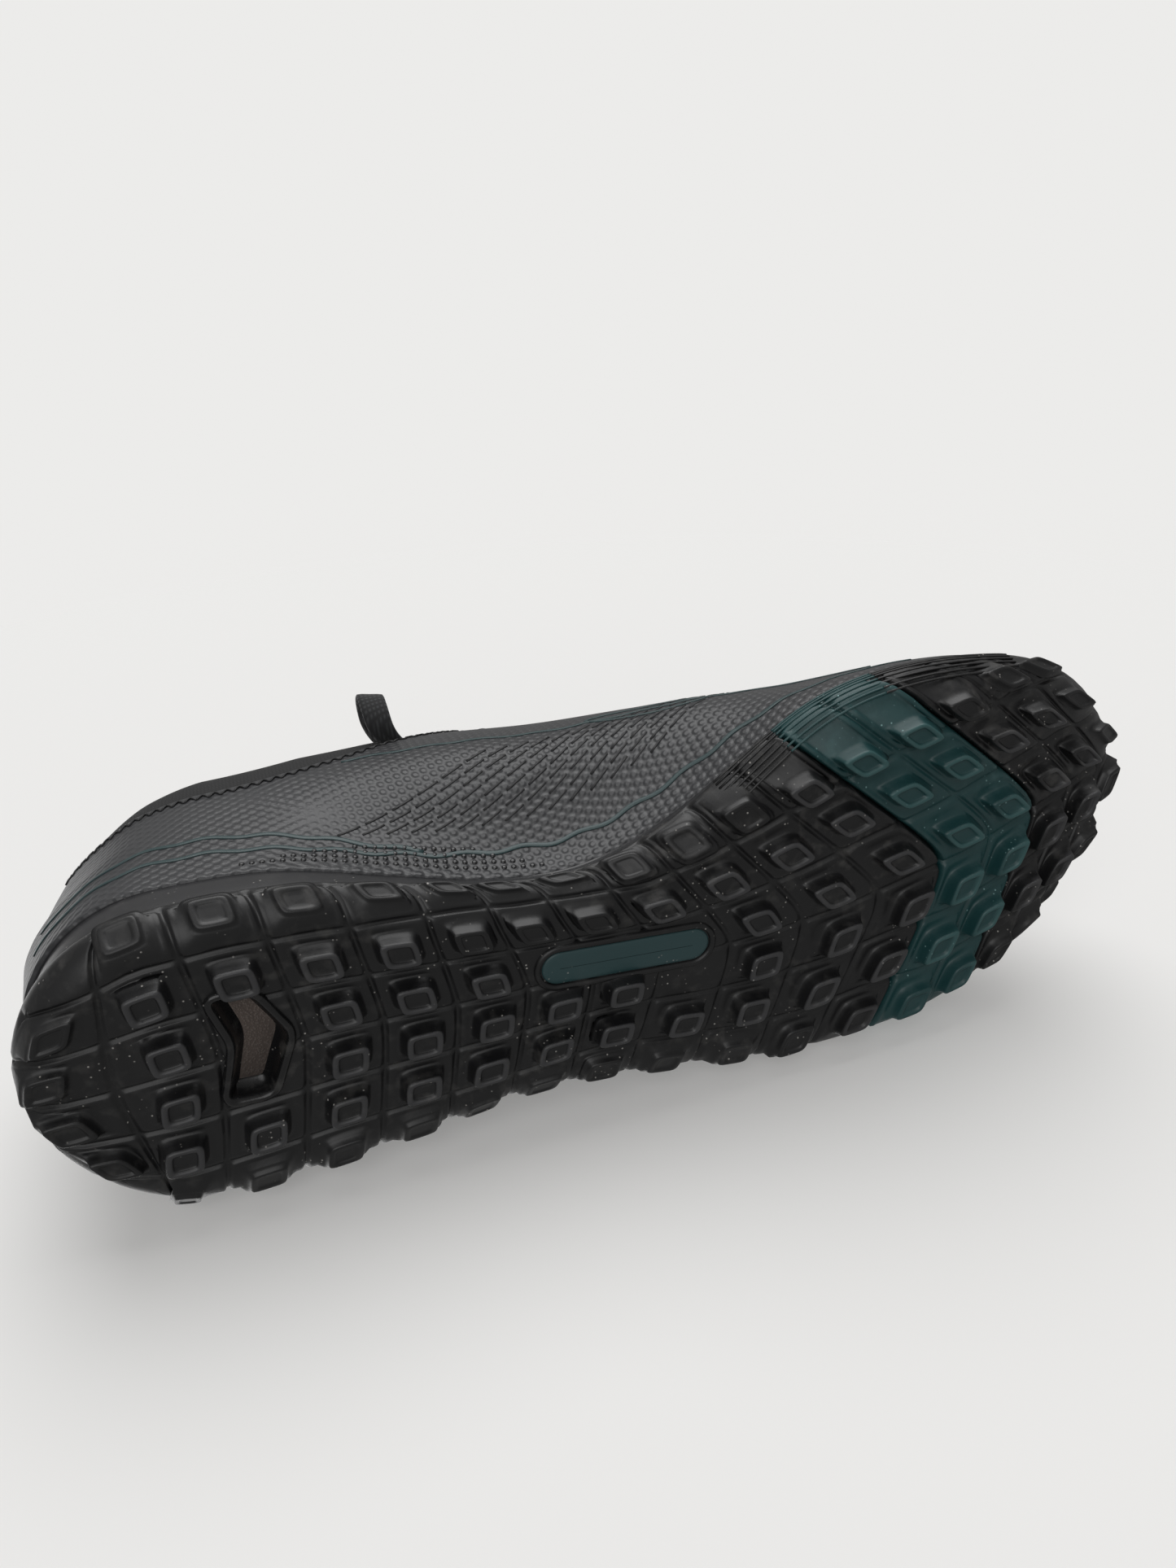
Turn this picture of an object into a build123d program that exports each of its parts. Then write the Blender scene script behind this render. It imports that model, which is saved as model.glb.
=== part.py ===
from build123d import *
import math
import os

# Left turf football shoe, standing on its studs. +X points to the toe, +Y to the outer (lateral) side,
# +Z up. Millimetres and degrees. The tables below are drawn about the heel-to-toe line; save() moves
# every piece by TO_MIDDLE, which puts the origin on the ground under the middle of the shoe.

os.makedirs("parts", exist_ok=True)

TO_MIDDLE = (1.4, 1.8, 0.0)

# Sole shape
HEEL_X = -143.0
TOE_X = 142.0
HEEL_ROUND = 36.0
TOE_ROUND_FROM = 60.0
STUD_HEIGHT = 5.5
RUBBER = 3.0
TOE_SPRING = 16.0
SPRING_FROM = 62.0
SPRING_RUN = 85.0
HEEL_RISE = 3.0
HEEL_RISE_FROM = -108.0
HEEL_RISE_RUN = 35.0
EDGE_ROUND = 7.0

# Half widths of the sole beside the long axis, as (x, width); the ends close by closure().
MEDIAL = [(-143, 37), (-107, 37), (-80, 35), (-54, 27.5), (-36, 22.5), (-16, 20.5), (0, 24), (15, 30.5),
          (30, 39), (45, 47), (60, 50.5), (95, 51.5), (112, 53), (142, 56)]
LATERAL = [(-143, 38), (-107, 38.5), (-80, 39), (-60, 37.5), (-36, 35.5), (-15, 38.5), (7, 43), (30, 48.5),
           (50, 50.5), (90, 49), (108, 45), (142, 36)]

# Heights above the ground, before the toe spring
WALL_TOP = [(-143, 13.5), (-60, 13), (0, 12), (40, 15), (142, 17)]
BITE = [(-143, 25), (-95, 24), (-60, 20), (-20, 15.5), (20, 16), (60, 17.5), (142, 19)]

# Upper: widest half widths, ridge height
UPPER_MEDIAL = [(-146, 37), (-107, 37), (-60, 38.5), (-30, 39), (-8, 38), (17, 40), (30, 42), (57, 44),
                (85, 47), (105, 49), (142, 50)]
UPPER_LATERAL = [(-146, 37), (-107, 37.5), (-60, 39), (-30, 40), (-8, 41), (17, 44), (30, 46), (57, 47),
                 (85, 45), (105, 43), (142, 38)]
RIDGE = [(-146, 112), (-90, 112), (-50, 108), (-25, 101), (-8, 96), (17, 85), (35, 73), (57, 60), (85, 50),
         (105, 45), (142, 43)]
COLLAR = [(-155, 84), (-140, 82), (-118, 76), (-88, 72), (-62, 75), (-40, 82), (-24, 87), (-10, 110)]

UPPER_HEEL_X = -145.0
UPPER_TOE_X = 140.5
SKIN = 2.2
LINING = 1.8
LAYER_GAP = 0.15
FOOT_GAP = 0.15

# Toe flex
FLEX_X = 60.0
FLEX_Z = 22.0
FLEX_HALF_ANGLE = 18.5
FLEX_GAP = 0.3

# Throat and tongue
THROAT_FRONT = 34.0
THROAT_HALF_FRONT = 9.0
THROAT_HALF_BACK = 17.0
THROAT_BACK = -60.0
TONGUE_HINGE = (-22.0, 95.2)
TONGUE = 3.5
TONGUE_SINK = 1.5

# Rows of studs, heel to toe: first stud, crest and last stud of each row as (x, across)
ROWS = [
    ((-124, -30), (-137, -1), (-120, 30)),
    ((-114, -36), (-111, -2), (-118, 34)),
    ((-96, -36), (-92.5, -2), (-100, 34)),
    ((-79, -34), (-74.5, 0), (-82, 33)),
    ((-62, -31), (-58, 2), (-64, 33)),
    ((-47, -28), (-41, 3), (-49, 33)),
    ((-36, -25), (-24.5, 3), (-34, 32)),
    ((-22, -23), (-9, 4), (-19, 32)),
    ((-8, -22.5), (10, 8), (-3, 36)),
    ((6, -26), (27.5, 5), (16, 40)),
    ((19, -30.5), (49.5, 6), (32, 42)),
    ((31.5, -36), (70, 3), (49.5, 40.5)),
    ((45, -40.5), (86, -2), (66.5, 41.5)),
    ((59.5, -44), (101, -5), (81, 38)),
    ((73.5, -47), (115, -8), (94, 36)),
    ((87, -49), (128, -9), (105, 33)),
    ((101, -47), (139, -9), (116, 30)),
]
STUDS_PER_ROW = 6
CREST_ROUND = 5.0
STUD_BASE = 0.36
STUD_TIP = 0.27
NO_STUD = {(0, 0), (0, 5), (2, 2), (2, 3), (6, 2), (7, 2), (8, 2), (8, 3)}
REAR_ROWS = 12
BAND_ROWS = 2

# Heel window and arch inlay
WINDOW = [(-101, -18), (-92, -17), (-86, -4), (-94, 9), (-103, 8), (-99, -5)]
WINDOW_RIM = 2.4
INLAY_CENTRE = (-8, 1.4)
INLAY_LENGTH = 42.0
INLAY_WIDTH = 8.6
INLAY_TILT = 7.0
INLAY_GROOVE = 0.5

# Insole stack
BOARD = 1.2
SOCKLINER = 4.0

# Laces
EYELETS = [30, 20, 10, 0, -10, -19]
LACE = 3.0
CROSSING_LACE = 2.4
EYELET_STEP = 1.7
EYELET_LIFT = 4.2
LOWER_LIFT = 1.0
UPPER_LIFT = 3.6
KNOT = (-12.0, 0.0, 107.8)
KNOT_SIZE = (13.0, 9.0, 8.4)
AGLET_LENGTH = 14.0
LOOP_MEDIAL = [(-15.5, -4.6, 109.5), (-16.5, -13, 109.5), (-21, -19.8, 106), (-31, -23, 101.5),
               (-40.5, -26, 98), (-46, -31.5, 95.5), (-48, -38, 91.5), (-48, -41, 86.5), (-47, -39, 82.5),
               (-43.5, -34, 83), (-36, -28, 88), (-27, -24.5, 94), (-19.5, -20, 100.5), (-16, -12.5, 105.5),
               (-15.5, -4.6, 106.1)]
LOOP_LATERAL = [(-15.5, 4.6, 109.5), (-16.5, 13, 109.5), (-21, 21, 105.5), (-29, 28, 99), (-35, 34, 91.5),
                (-38, 39, 83), (-38.5, 42, 75), (-36.5, 42.5, 69.5), (-32.5, 41, 69.5), (-28, 37.5, 77),
                (-23.5, 31.5, 87), (-18.5, 22, 97.5), (-16, 12.5, 104.5), (-15.5, 4.6, 106.1)]
END_MEDIAL = [(-8.5, -4.6, 107.8), (-7, -13, 105), (2, -18.5, 96.5), (13, -21.5, 88), (24, -23, 80)]
END_LATERAL = [(-8.5, 4.6, 107.8), (-7.5, 14, 104.5), (-1, 22.5, 96), (7, 29, 85.5), (14, 33.5, 75.5)]


def follow(table, x):
    """Smooth curve through a table of (x, value)."""
    if x <= table[0][0]:
        return table[0][1]
    if x >= table[-1][0]:
        return table[-1][1]
    i = max(k for k in range(len(table) - 1) if table[k][0] <= x)

    def slope(k):
        a, b = table[max(k - 1, 0)], table[min(k + 1, len(table) - 1)]
        return (b[1] - a[1]) / (b[0] - a[0])

    (x0, v0), (x1, v1) = table[i], table[i + 1]
    run = x1 - x0
    t = (x - x0) / run
    return (v0 * (2 * t**3 - 3 * t**2 + 1) + slope(i) * run * (t**3 - 2 * t**2 + t)
            + v1 * (3 * t**2 - 2 * t**3) + slope(i + 1) * run * (t**3 - t**2))


def spring(x):
    """Rise of the sole's underside at the toe and the heel."""
    toe = max(0.0, (x - SPRING_FROM) / SPRING_RUN)
    heel = max(0.0, (HEEL_RISE_FROM - x) / HEEL_RISE_RUN)
    return TOE_SPRING * toe**2 + HEEL_RISE * heel**2


def closure(x, heel_x, toe_x):
    """Rounds the heel and toe ends, from 1 along the sides to 0 at the tips."""
    heel = max(0.0, (heel_x + HEEL_ROUND - x) / HEEL_ROUND)
    toe = max(0.0, (x - TOE_ROUND_FROM) / (toe_x - TOE_ROUND_FROM))
    return math.sqrt(max(0.0, 1 - heel**2)) * max(0.0, 1 - toe**2.2) ** 0.55


def outline(inset=0.0, stations=26):
    """Plan outline of the sole, moved inwards by inset."""
    xs = [(HEEL_X + TOE_X) / 2 - (TOE_X - HEEL_X) / 2 * math.cos(math.pi * i / stations)
          for i in range(stations + 1)]
    medial = [(x, -follow(MEDIAL, x) * closure(x, HEEL_X, TOE_X)) for x in xs]
    lateral = [(x, follow(LATERAL, x) * closure(x, HEEL_X, TOE_X)) for x in xs[1:-1]]
    loop = medial + lateral[::-1]
    moved = []
    for i, (x, y) in enumerate(loop):
        before, after = loop[i - 1], loop[(i + 1) % len(loop)]
        dx, dy = after[0] - before[0], after[1] - before[1]
        length = math.hypot(dx, dy)
        moved.append((x - dy / length * inset, y + dx / length * inset))
    return moved


def prism(inset):
    """Upright block with the sole's plan."""
    return extrude(make_face(Spline(*outline(inset), periodic=True)), 140)


def slab(low, high, inset):
    """Layer of the sole between two heights, each a function of x before the spring."""
    xs = range(-154, 155, 14)
    under = [(x, low(x) + spring(x)) for x in xs]
    over = [(x, high(x) + spring(x)) for x in xs]
    side = make_face([Spline(*under), Line(under[-1], over[-1]), Spline(*over), Line(over[0], under[0])])
    return extrude(Plane.XZ * side, 80, both=True) & prism(inset)


def wall_top(x):
    return follow(WALL_TOP, x)


def bite(x):
    return follow(BITE, x)


def lattice(row, column):
    """Place on the flat tread pattern of a row and column, whole numbers being stud centres."""
    low = min(max(int(math.floor(row)), 0), len(ROWS) - 2)
    part = row - low
    (xf, yf), (xc, yc), (xl, yl) = [
        tuple(a + (b - a) * part for a, b in zip(p, q)) for p, q in zip(ROWS[low], ROWS[low + 1])]
    y = yf + (yl - yf) * column / (STUDS_PER_ROW - 1)
    medial = (xc - xf) / (yc - yf)
    lateral = (xc - xl) / (yl - yc)
    d = y - yc
    bend = math.sqrt(d * d + CREST_ROUND**2) - CREST_ROUND
    return xc - (medial + lateral) / 2 * bend + (medial - lateral) / 2 * d, y


def wrapped(x, y, edge):
    """Puts a place on the flat pattern onto the rounded underside: point and outward normal."""
    best = None
    for i, (ax, ay) in enumerate(edge):
        bx, by = edge[(i + 1) % len(edge)]
        length = math.hypot(bx - ax, by - ay)
        t = min(1.0, max(0.0, ((x - ax) * (bx - ax) + (y - ay) * (by - ay)) / length**2))
        px, py = ax + t * (bx - ax), ay + t * (by - ay)
        nx, ny = (by - ay) / length, -(bx - ax) / length
        far = math.hypot(x - px, y - py)
        if best is None or far < best[0]:
            best = (far, px, py, nx, ny)
    far, px, py, nx, ny = best
    out = (x - px) * nx + (y - py) * ny
    if out <= 0:
        return (x, y, STUD_HEIGHT + spring(x)), (0, 0, -1)
    turn = min(out / EDGE_ROUND, 1.2)
    x, y = px + nx * EDGE_ROUND * math.sin(turn), py + ny * EDGE_ROUND * math.sin(turn)
    z = STUD_HEIGHT + EDGE_ROUND * (1 - math.cos(turn)) + spring(x)
    return (x, y, z), (nx * math.sin(turn), ny * math.sin(turn), -math.cos(turn))


def stud(row, column, edge):
    """One tapered stud, cut-cornered, standing square to the underside."""
    centre, normal = wrapped(*lattice(row, column), edge)
    here = lattice(row, column)
    along = [b - a for a, b in zip(here, lattice(row, column + 0.5))]
    across = [b - a for a, b in zip(here, lattice(row + 0.5, column))]
    face = Plane(origin=centre, x_dir=(along[0], along[1], 0), z_dir=normal)
    side = Vector(along[0] * 2, along[1] * 2, 0)
    length = Vector(across[0] * 2, across[1] * 2, 0)
    corners = []
    for reach in (STUD_BASE, STUD_TIP):
        ring = []
        for a, b in ((1, .55), (.55, 1), (-.55, 1), (-1, .55), (-1, -.55), (-.55, -1), (.55, -1), (1, -.55)):
            step = side * (a * reach) + length * (b * reach)
            ring.append((step.dot(face.x_dir), step.dot(face.y_dir)))
        corners.append(ring)
    base = face.offset(-1.2) * make_face(Polyline(*corners[0], close=True))
    tip = face.offset(STUD_HEIGHT) * make_face(Polyline(*corners[1], close=True))
    return loft([base, tip], ruled=True)


def behind_row(row, shift):
    """Everything on the heel side of a V-shaped line across the tread."""
    line = [lattice(row, -1.5 + 0.5 * i) for i in range(18)]
    line = [(x + shift, y) for x, y in line]
    plan = Polyline((-200, line[0][1]), *line, (-200, line[-1][1]), close=True)
    return Pos(0, 0, -10) * extrude(make_face(plan), 150)


def ahead_of_flex(shift):
    """Everything on the toe side of the flex line."""
    return Pos(FLEX_X + shift + 200, 0, 50) * Box(400, 300, 400)


def window_face(grow):
    return offset(make_face(Polyline(*WINDOW, close=True)), amount=grow, kind=Kind.INTERSECTION)


def inlay_face(grow):
    shape = SlotOverall(INLAY_LENGTH + 2 * grow, INLAY_WIDTH + 2 * grow)
    return Pos(*INLAY_CENTRE) * Rot(0, 0, INLAY_TILT) * shape


def build_rubber():
    """Solid blank of the rubber outsole and its studs."""
    cup = slab(lambda x: STUD_HEIGHT, wall_top, 0)
    under = cup.faces().sort_by(Axis.Z)[0]
    cup = fillet(under.edges(), EDGE_ROUND - 0.5)
    edge = outline(EDGE_ROUND)
    studs = [stud(row, column, edge) for row in range(len(ROWS)) for column in range(STUDS_PER_ROW)
             if (row, column) not in NO_STUD]
    return cup, studs


def build_outsole():
    """Three rubbers parted by V-shaped grooves, each cut again at the flex line."""
    blank, studs = build_rubber()
    pocket = slab(lambda x: STUD_HEIGHT + RUBBER, lambda x: wall_top(x) + 20, RUBBER)
    window = extrude(window_face(0), 40)
    recess = Pos(0, 0, STUD_HEIGHT - 1) * extrude(inlay_face(INLAY_GROOVE), 2.2)
    whole = (blank - window - recess).fuse(*studs) - pocket - Pos(0, 0, -10) * Box(400, 200, 20)
    rear_line = behind_row(REAR_ROWS - 0.5, -FLEX_GAP)
    band_start = behind_row(REAR_ROWS - 0.5, FLEX_GAP)
    band_line = behind_row(REAR_ROWS + BAND_ROWS - 0.5, -FLEX_GAP)
    toe_start = behind_row(REAR_ROWS + BAND_ROWS - 0.5, FLEX_GAP)
    rear = whole & rear_line
    band = (whole - band_start) & band_line
    save("outsole_rear", rear - ahead_of_flex(-FLEX_GAP))
    save("outsole_rear_crest", rear & ahead_of_flex(FLEX_GAP))
    save("outsole_band", band & ahead_of_flex(FLEX_GAP))
    save("outsole_band_arms", band - ahead_of_flex(-FLEX_GAP))
    save("outsole_toe", (whole - toe_start) & ahead_of_flex(FLEX_GAP))


def build_heel_window():
    """Frame clipped in the heel window with a foam block behind it."""
    frame = extrude(window_face(-0.3), 3.2) - extrude(window_face(-WINDOW_RIM), 3.2)
    save("heel_window_frame", Pos(0, 0, STUD_HEIGHT + 0.4) * frame)
    block = extrude(window_face(-WINDOW_RIM - 0.2), 9)
    save("heel_cushion", Pos(0, 0, STUD_HEIGHT + 3.2) * block)


def build_inlay():
    """Plain capsule-shaped badge blank in the arch."""
    save("arch_inlay", Pos(0, 0, STUD_HEIGHT - 0.2) * extrude(inlay_face(0), 1.2))


def build_midsole():
    low = STUD_HEIGHT + RUBBER + 0.1
    core = slab(lambda x: low, lambda x: bite(x) - 0.5, RUBBER + 0.6)
    band = slab(lambda x: wall_top(x) + 0.1, lambda x: bite(x) - 0.1, 1.2)
    midsole = (core + band) - extrude(window_face(0.3), 18)
    save("midsole_rear", midsole - ahead_of_flex(-FLEX_GAP))
    save("midsole_front", midsole & ahead_of_flex(FLEX_GAP))


def build_insole():
    board = slab(bite, lambda x: bite(x) + BOARD, 7.2)
    pad = slab(lambda x: bite(x) + BOARD + 0.1, lambda x: bite(x) + BOARD + SOCKLINER, 8.4)
    for name, layer in (("strobel_board", board), ("sockliner", pad)):
        save(name + "_rear", layer - ahead_of_flex(-FLEX_GAP))
        save(name + "_front", layer & ahead_of_flex(FLEX_GAP))


def upper_section(x, inset, drop):
    """Cross section of the upper at x, moved inwards by inset, its foot lowered by drop."""
    heel_x, toe_x = UPPER_HEEL_X + inset, UPPER_TOE_X - inset
    round_off = closure(x, heel_x, toe_x)
    toe = max(0.0, (x - TOE_ROUND_FROM) / (toe_x - TOE_ROUND_FROM))
    foot = bite(x) + spring(x) + FOOT_GAP
    tall = (follow(RIDGE, x) - bite(x) - inset) * math.sqrt(1 - toe**4)

    def side(table, sole, sign):
        points = []
        for u in (0, 0.12, 0.28, 0.45, 0.62, 0.78, 0.9, 0.975):
            start = follow(sole, x) - 1.4 - inset
            rise = min(u / 0.45, 1.0)
            blend = rise * rise * (3 - 2 * rise)
            width = start * (1 - blend) + (follow(table, x) - inset) * blend
            points.append((sign * width * round_off * math.sqrt(1 - u**3), foot + tall * u))
        return points

    medial = side(UPPER_MEDIAL, MEDIAL, -1)
    lateral = side(UPPER_LATERAL, LATERAL, 1)
    crown = Spline(*medial, (0, foot + tall), *lateral[::-1])
    floor = Polyline(lateral[0], (lateral[0][0], foot - drop), (medial[0][0], foot - drop), medial[0])
    return Plane.YZ.offset(x) * make_face([crown, floor])


def form(inset, drop=0.05):
    """Closed foot-shaped solid bounded by the upper, inset mm inside its outer face."""
    heel_x, toe_x = UPPER_HEEL_X + inset, UPPER_TOE_X - inset
    stations = [heel_x + 0.5, heel_x + 4, heel_x + 12, heel_x + 26, -100, -78, -55, -32, -10, 12, 34, 56,
                76, 94, 110, 122, toe_x - 9, toe_x - 3.5, toe_x - 0.5]
    return loft([upper_section(x, inset, drop) for x in stations])


def above_collar(raise_by=0.0):
    line = Spline(*[(x, z + raise_by) for x, z in COLLAR])
    ends = Polyline((COLLAR[-1][0], COLLAR[-1][1] + raise_by), (COLLAR[-1][0], 160), (COLLAR[0][0], 160),
                    (COLLAR[0][0], COLLAR[0][1] + raise_by))
    return extrude(Plane.XZ * make_face([line, ends]), 100, both=True)


def throat(grow=0.0):
    """Upright prism over the lacing gap."""
    front, back = THROAT_HALF_FRONT + grow, THROAT_HALF_BACK + grow
    plan = Polyline((THROAT_BACK, -back), (-20, -back), (THROAT_FRONT - 8 + grow, -front),
                    (THROAT_FRONT + grow, -front / 2), (THROAT_FRONT + grow, front / 2),
                    (THROAT_FRONT - 8 + grow, front), (-20, back), (THROAT_BACK, back), close=True)
    return Pos(0, 0, 45) * extrude(make_face(plan), 90)


def wedge_side(sign, gap):
    """Half space behind (-1) or ahead (+1) of the tilted faces between which the vamp flexes."""
    lean = math.tan(math.radians(FLEX_HALF_ANGLE)) * 90
    x = FLEX_X + sign * gap
    side = Polyline((x, -40), (x, FLEX_Z), (x + sign * lean, FLEX_Z + 90), (x + sign * 300, FLEX_Z + 90),
                    (x + sign * 300, -40), close=True)
    return extrude(Plane.XZ * make_face(side), 100, both=True)


def half(sign):
    return Pos(0, sign * 100.15, 60) * Box(400, 200, 200)


def span(x0, x1, z0=-10, z1=160):
    return Pos((x0 + x1) / 2, 0, (z0 + z1) / 2) * Box(x1 - x0, 200, z1 - z0)


def build_upper():
    outer, inner = form(0), form(SKIN, 8)
    skin = outer - inner - above_collar() - throat()
    behind, ahead = wedge_side(-1, FLEX_GAP), wedge_side(1, FLEX_GAP)
    save("heel_wrap", skin & span(-160, -98.2))
    quarters = (skin & span(-98, 100)) & behind
    save("medial_quarter", quarters & half(-1))
    save("lateral_quarter", quarters & half(1))
    save("vamp_flex_panel", skin & span(0, 160) - wedge_side(-1, -0.1) - wedge_side(1, -0.1))
    save("vamp_toe", skin & ahead)

    middle = form(SKIN + LAYER_GAP) - form(SKIN + LAYER_GAP + 1.0, 8)
    save("heel_counter", middle & span(-160, -92, 0, 62))
    save("toe_puff", middle & span(104, 160))
    stays = (middle & throat(9)) - throat() - above_collar(-1.5)
    stays = stays & span(-55, 40) & behind
    for name, sign in (("eyestay_medial", -1), ("eyestay_lateral", 1)):
        save(name, stays & half(sign))

    inside = SKIN + 2 * LAYER_GAP + 1.0
    lining = form(inside) - form(inside + LINING, 8) - above_collar(-2.5) - throat()
    save("collar_lining", lining & span(-160, 20))
    return inside + LINING


def build_tongue(inset):
    inner = form(inset + LAYER_GAP + TONGUE, 8)
    flange = (form(inset + LAYER_GAP) - inner) & throat(6)
    pad = (form(TONGUE_SINK) - inner) & throat(-LAYER_GAP * 2)
    save("tongue_body", (flange + pad) & span(TONGUE_HINGE[0] + 0.8, THROAT_FRONT + 4))
    top = flange & throat(-1) & span(-56, TONGUE_HINGE[0] - 0.3, 89, 120)
    save("tongue_top", top)


def surface_height(x, y):
    """Height of the upper's face above a place in plan."""
    table = UPPER_MEDIAL if y < 0 else UPPER_LATERAL
    tall = follow(RIDGE, x) - bite(x)
    return bite(x) + FOOT_GAP + tall * (1 - (y / follow(table, x)) ** 2) ** (1 / 3)


def tube(points, diameter, scale=1.0):
    """Cord of straight runs joined by tangent arcs; prints its smallest radius and its volume ratio."""
    vectors = [Vector(*p) for p in points]
    radii = []
    for a, b, c in zip(vectors, vectors[1:], vectors[2:]):
        turn = math.radians((b - a).get_angle(c - b))
        radii.append(scale * 0.45 * min((b - a).length, (c - b).length) / math.tan(turn / 2))
    path = FilletPolyline(*points, radius=radii)
    section = Plane(origin=path @ 0, z_dir=path % 0) * Circle(diameter / 2)
    cord = sweep(section, path=path)
    ratio = cord.volume / (math.pi * diameter**2 / 4 * path.length)
    print("cord", round(path.length, 1), "least radius", round(min(radii), 1), "volume", round(ratio, 3))
    return cord


def build_laces():
    def crossing(start, end, sign, lift):
        """Run from the eyelet at start on the side of sign to the one at end on the other side."""
        def place(x, side, reach, rise):
            y = side * reach
            return x, y, surface_height(x, y) + rise

        def eyelet_reach(x):
            return THROAT_HALF_FRONT + (THROAT_FRONT - x) * 0.16 + 4.5

        third = (end - start) / 3
        route = [place(start, sign, eyelet_reach(start), EYELET_LIFT), place(start + third, sign, 5, lift),
                 place(end - third, -sign, 5, lift), place(end, -sign, eyelet_reach(end), EYELET_LIFT)]
        return tube(route, CROSSING_LACE)

    runs = [crossing(EYELETS[0] + EYELET_STEP, EYELETS[0] + EYELET_STEP, -1, 2)]
    for here, there in zip(EYELETS, EYELETS[1:]):
        for sign, lift in ((-1, LOWER_LIFT), (1, UPPER_LIFT)):
            runs.append(crossing(here - EYELET_STEP, there + EYELET_STEP, sign, lift))
    save("lace_crossings", Compound(children=runs))
    save("lace_knot", Pos(*KNOT) * fillet(Box(*KNOT_SIZE).edges(), 1))
    for name, route in (("lace_loop_medial", LOOP_MEDIAL), ("lace_loop_lateral", LOOP_LATERAL),
                        ("lace_end_medial", END_MEDIAL), ("lace_end_lateral", END_LATERAL)):
        save(name, tube(route, LACE))
    for name, route in (("aglet_medial", END_MEDIAL), ("aglet_lateral", END_LATERAL)):
        end, before = Vector(*route[-1]), Vector(*route[-2])
        place = Plane(origin=end, z_dir=end - before)
        save(name, place * extrude(Circle(LACE / 2 + 0.4), AGLET_LENGTH))


def save(name, shape):
    export_step(Pos(*TO_MIDDLE) * shape, f"parts/{name}.step")


build_outsole()
build_heel_window()
build_inlay()
build_midsole()
build_insole()
build_tongue(build_upper())
build_laces()
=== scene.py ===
import math

import bmesh
import bpy
import numpy as np
from mathutils import Matrix, Vector
from mathutils.kdtree import KDTree


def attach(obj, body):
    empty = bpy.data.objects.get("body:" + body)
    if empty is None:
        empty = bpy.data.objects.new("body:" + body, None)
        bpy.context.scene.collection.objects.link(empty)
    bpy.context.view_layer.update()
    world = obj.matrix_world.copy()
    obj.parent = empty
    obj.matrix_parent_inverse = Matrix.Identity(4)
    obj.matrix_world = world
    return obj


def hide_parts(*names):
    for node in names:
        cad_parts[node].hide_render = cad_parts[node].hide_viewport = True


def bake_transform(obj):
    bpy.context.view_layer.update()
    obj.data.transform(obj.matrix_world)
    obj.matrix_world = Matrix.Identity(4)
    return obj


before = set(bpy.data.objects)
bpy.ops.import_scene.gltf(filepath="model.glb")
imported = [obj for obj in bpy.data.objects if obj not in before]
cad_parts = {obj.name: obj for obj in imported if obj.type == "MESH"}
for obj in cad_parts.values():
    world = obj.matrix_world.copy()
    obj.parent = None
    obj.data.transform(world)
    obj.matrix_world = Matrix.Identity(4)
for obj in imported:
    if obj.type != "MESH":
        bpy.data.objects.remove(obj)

# A left turf football shoe. +X is the toe, +Y the outer (lateral) side, +Z up, in metres.
# The tables and shape functions work in millimetres about the heel-to-toe line of the sole, and
# new_piece() turns them into metres about the frame's origin.

MM = 0.001
MIDDLE = np.array([0.0014, 0.0018, 0.0])  # the line's place in the frame
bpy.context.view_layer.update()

# ------------------------------------------------------------------ driving sizes, millimetres

HEEL_X, TOE_X = -143.0, 142.0
HEEL_ROUND, TOE_ROUND_FROM = 36.0, 60.0
STUD_HEIGHT = 5.5
EDGE_ROUND = 7.0  # between the underside and the side wall
TOE_SPRING, SPRING_FROM, SPRING_RUN = 16.0, 62.0, 85.0
HEEL_RISE, HEEL_RISE_FROM, HEEL_RISE_RUN = 3.0, -108.0, 35.0
UPPER_HEEL_X, UPPER_TOE_X = -145.0, 140.5
UPPER_THICK, LINING_THICK = 1.8, 1.8
UNDER_UPPER, LINING_INSET, FOOTBED_INSET = 1.95, 2.3, 8.4

# Tables of (x, value): half widths of the sole and of the upper on both sides, the height of the rubber
# wall's top, of the upper's foot, of its ridge line and of the collar's edge
MEDIAL = [(-143, 37), (-107, 37), (-80, 35), (-54, 27.5), (-36, 22.5), (-16, 20.5), (0, 24), (15, 30.5),
          (30, 39), (45, 47), (60, 50.5), (95, 51.5), (112, 53), (142, 56)]
LATERAL = [(-143, 38), (-107, 38.5), (-80, 39), (-60, 37.5), (-36, 35.5), (-15, 38.5), (7, 43), (30, 48.5),
           (50, 50.5), (90, 49), (108, 45), (142, 36)]
WALL_TOP = [(-143, 13.5), (-60, 13), (0, 12), (40, 15), (142, 17)]
BITE = [(-143, 25), (-95, 24), (-60, 20), (-20, 15.5), (20, 16), (60, 17.5), (142, 19)]
UPPER_MEDIAL = [(-146, 37), (-107, 37), (-60, 38.5), (-30, 39), (-8, 38), (17, 40), (30, 42), (57, 44),
                (85, 47), (105, 49), (142, 50)]
UPPER_LATERAL = [(-146, 37), (-107, 37.5), (-60, 39), (-30, 40), (-8, 41), (17, 44), (30, 46), (57, 47),
                 (85, 45), (105, 43), (142, 38)]
RIDGE = [(-146, 112), (-90, 112), (-50, 108), (-25, 101), (-8, 96), (17, 85), (35, 73), (57, 60), (85, 50),
         (105, 45), (142, 43)]
COLLAR = [(-155, 82), (-140, 79), (-118, 70), (-88, 65), (-62, 69), (-40, 79), (-24, 87), (-10, 110)]

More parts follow.
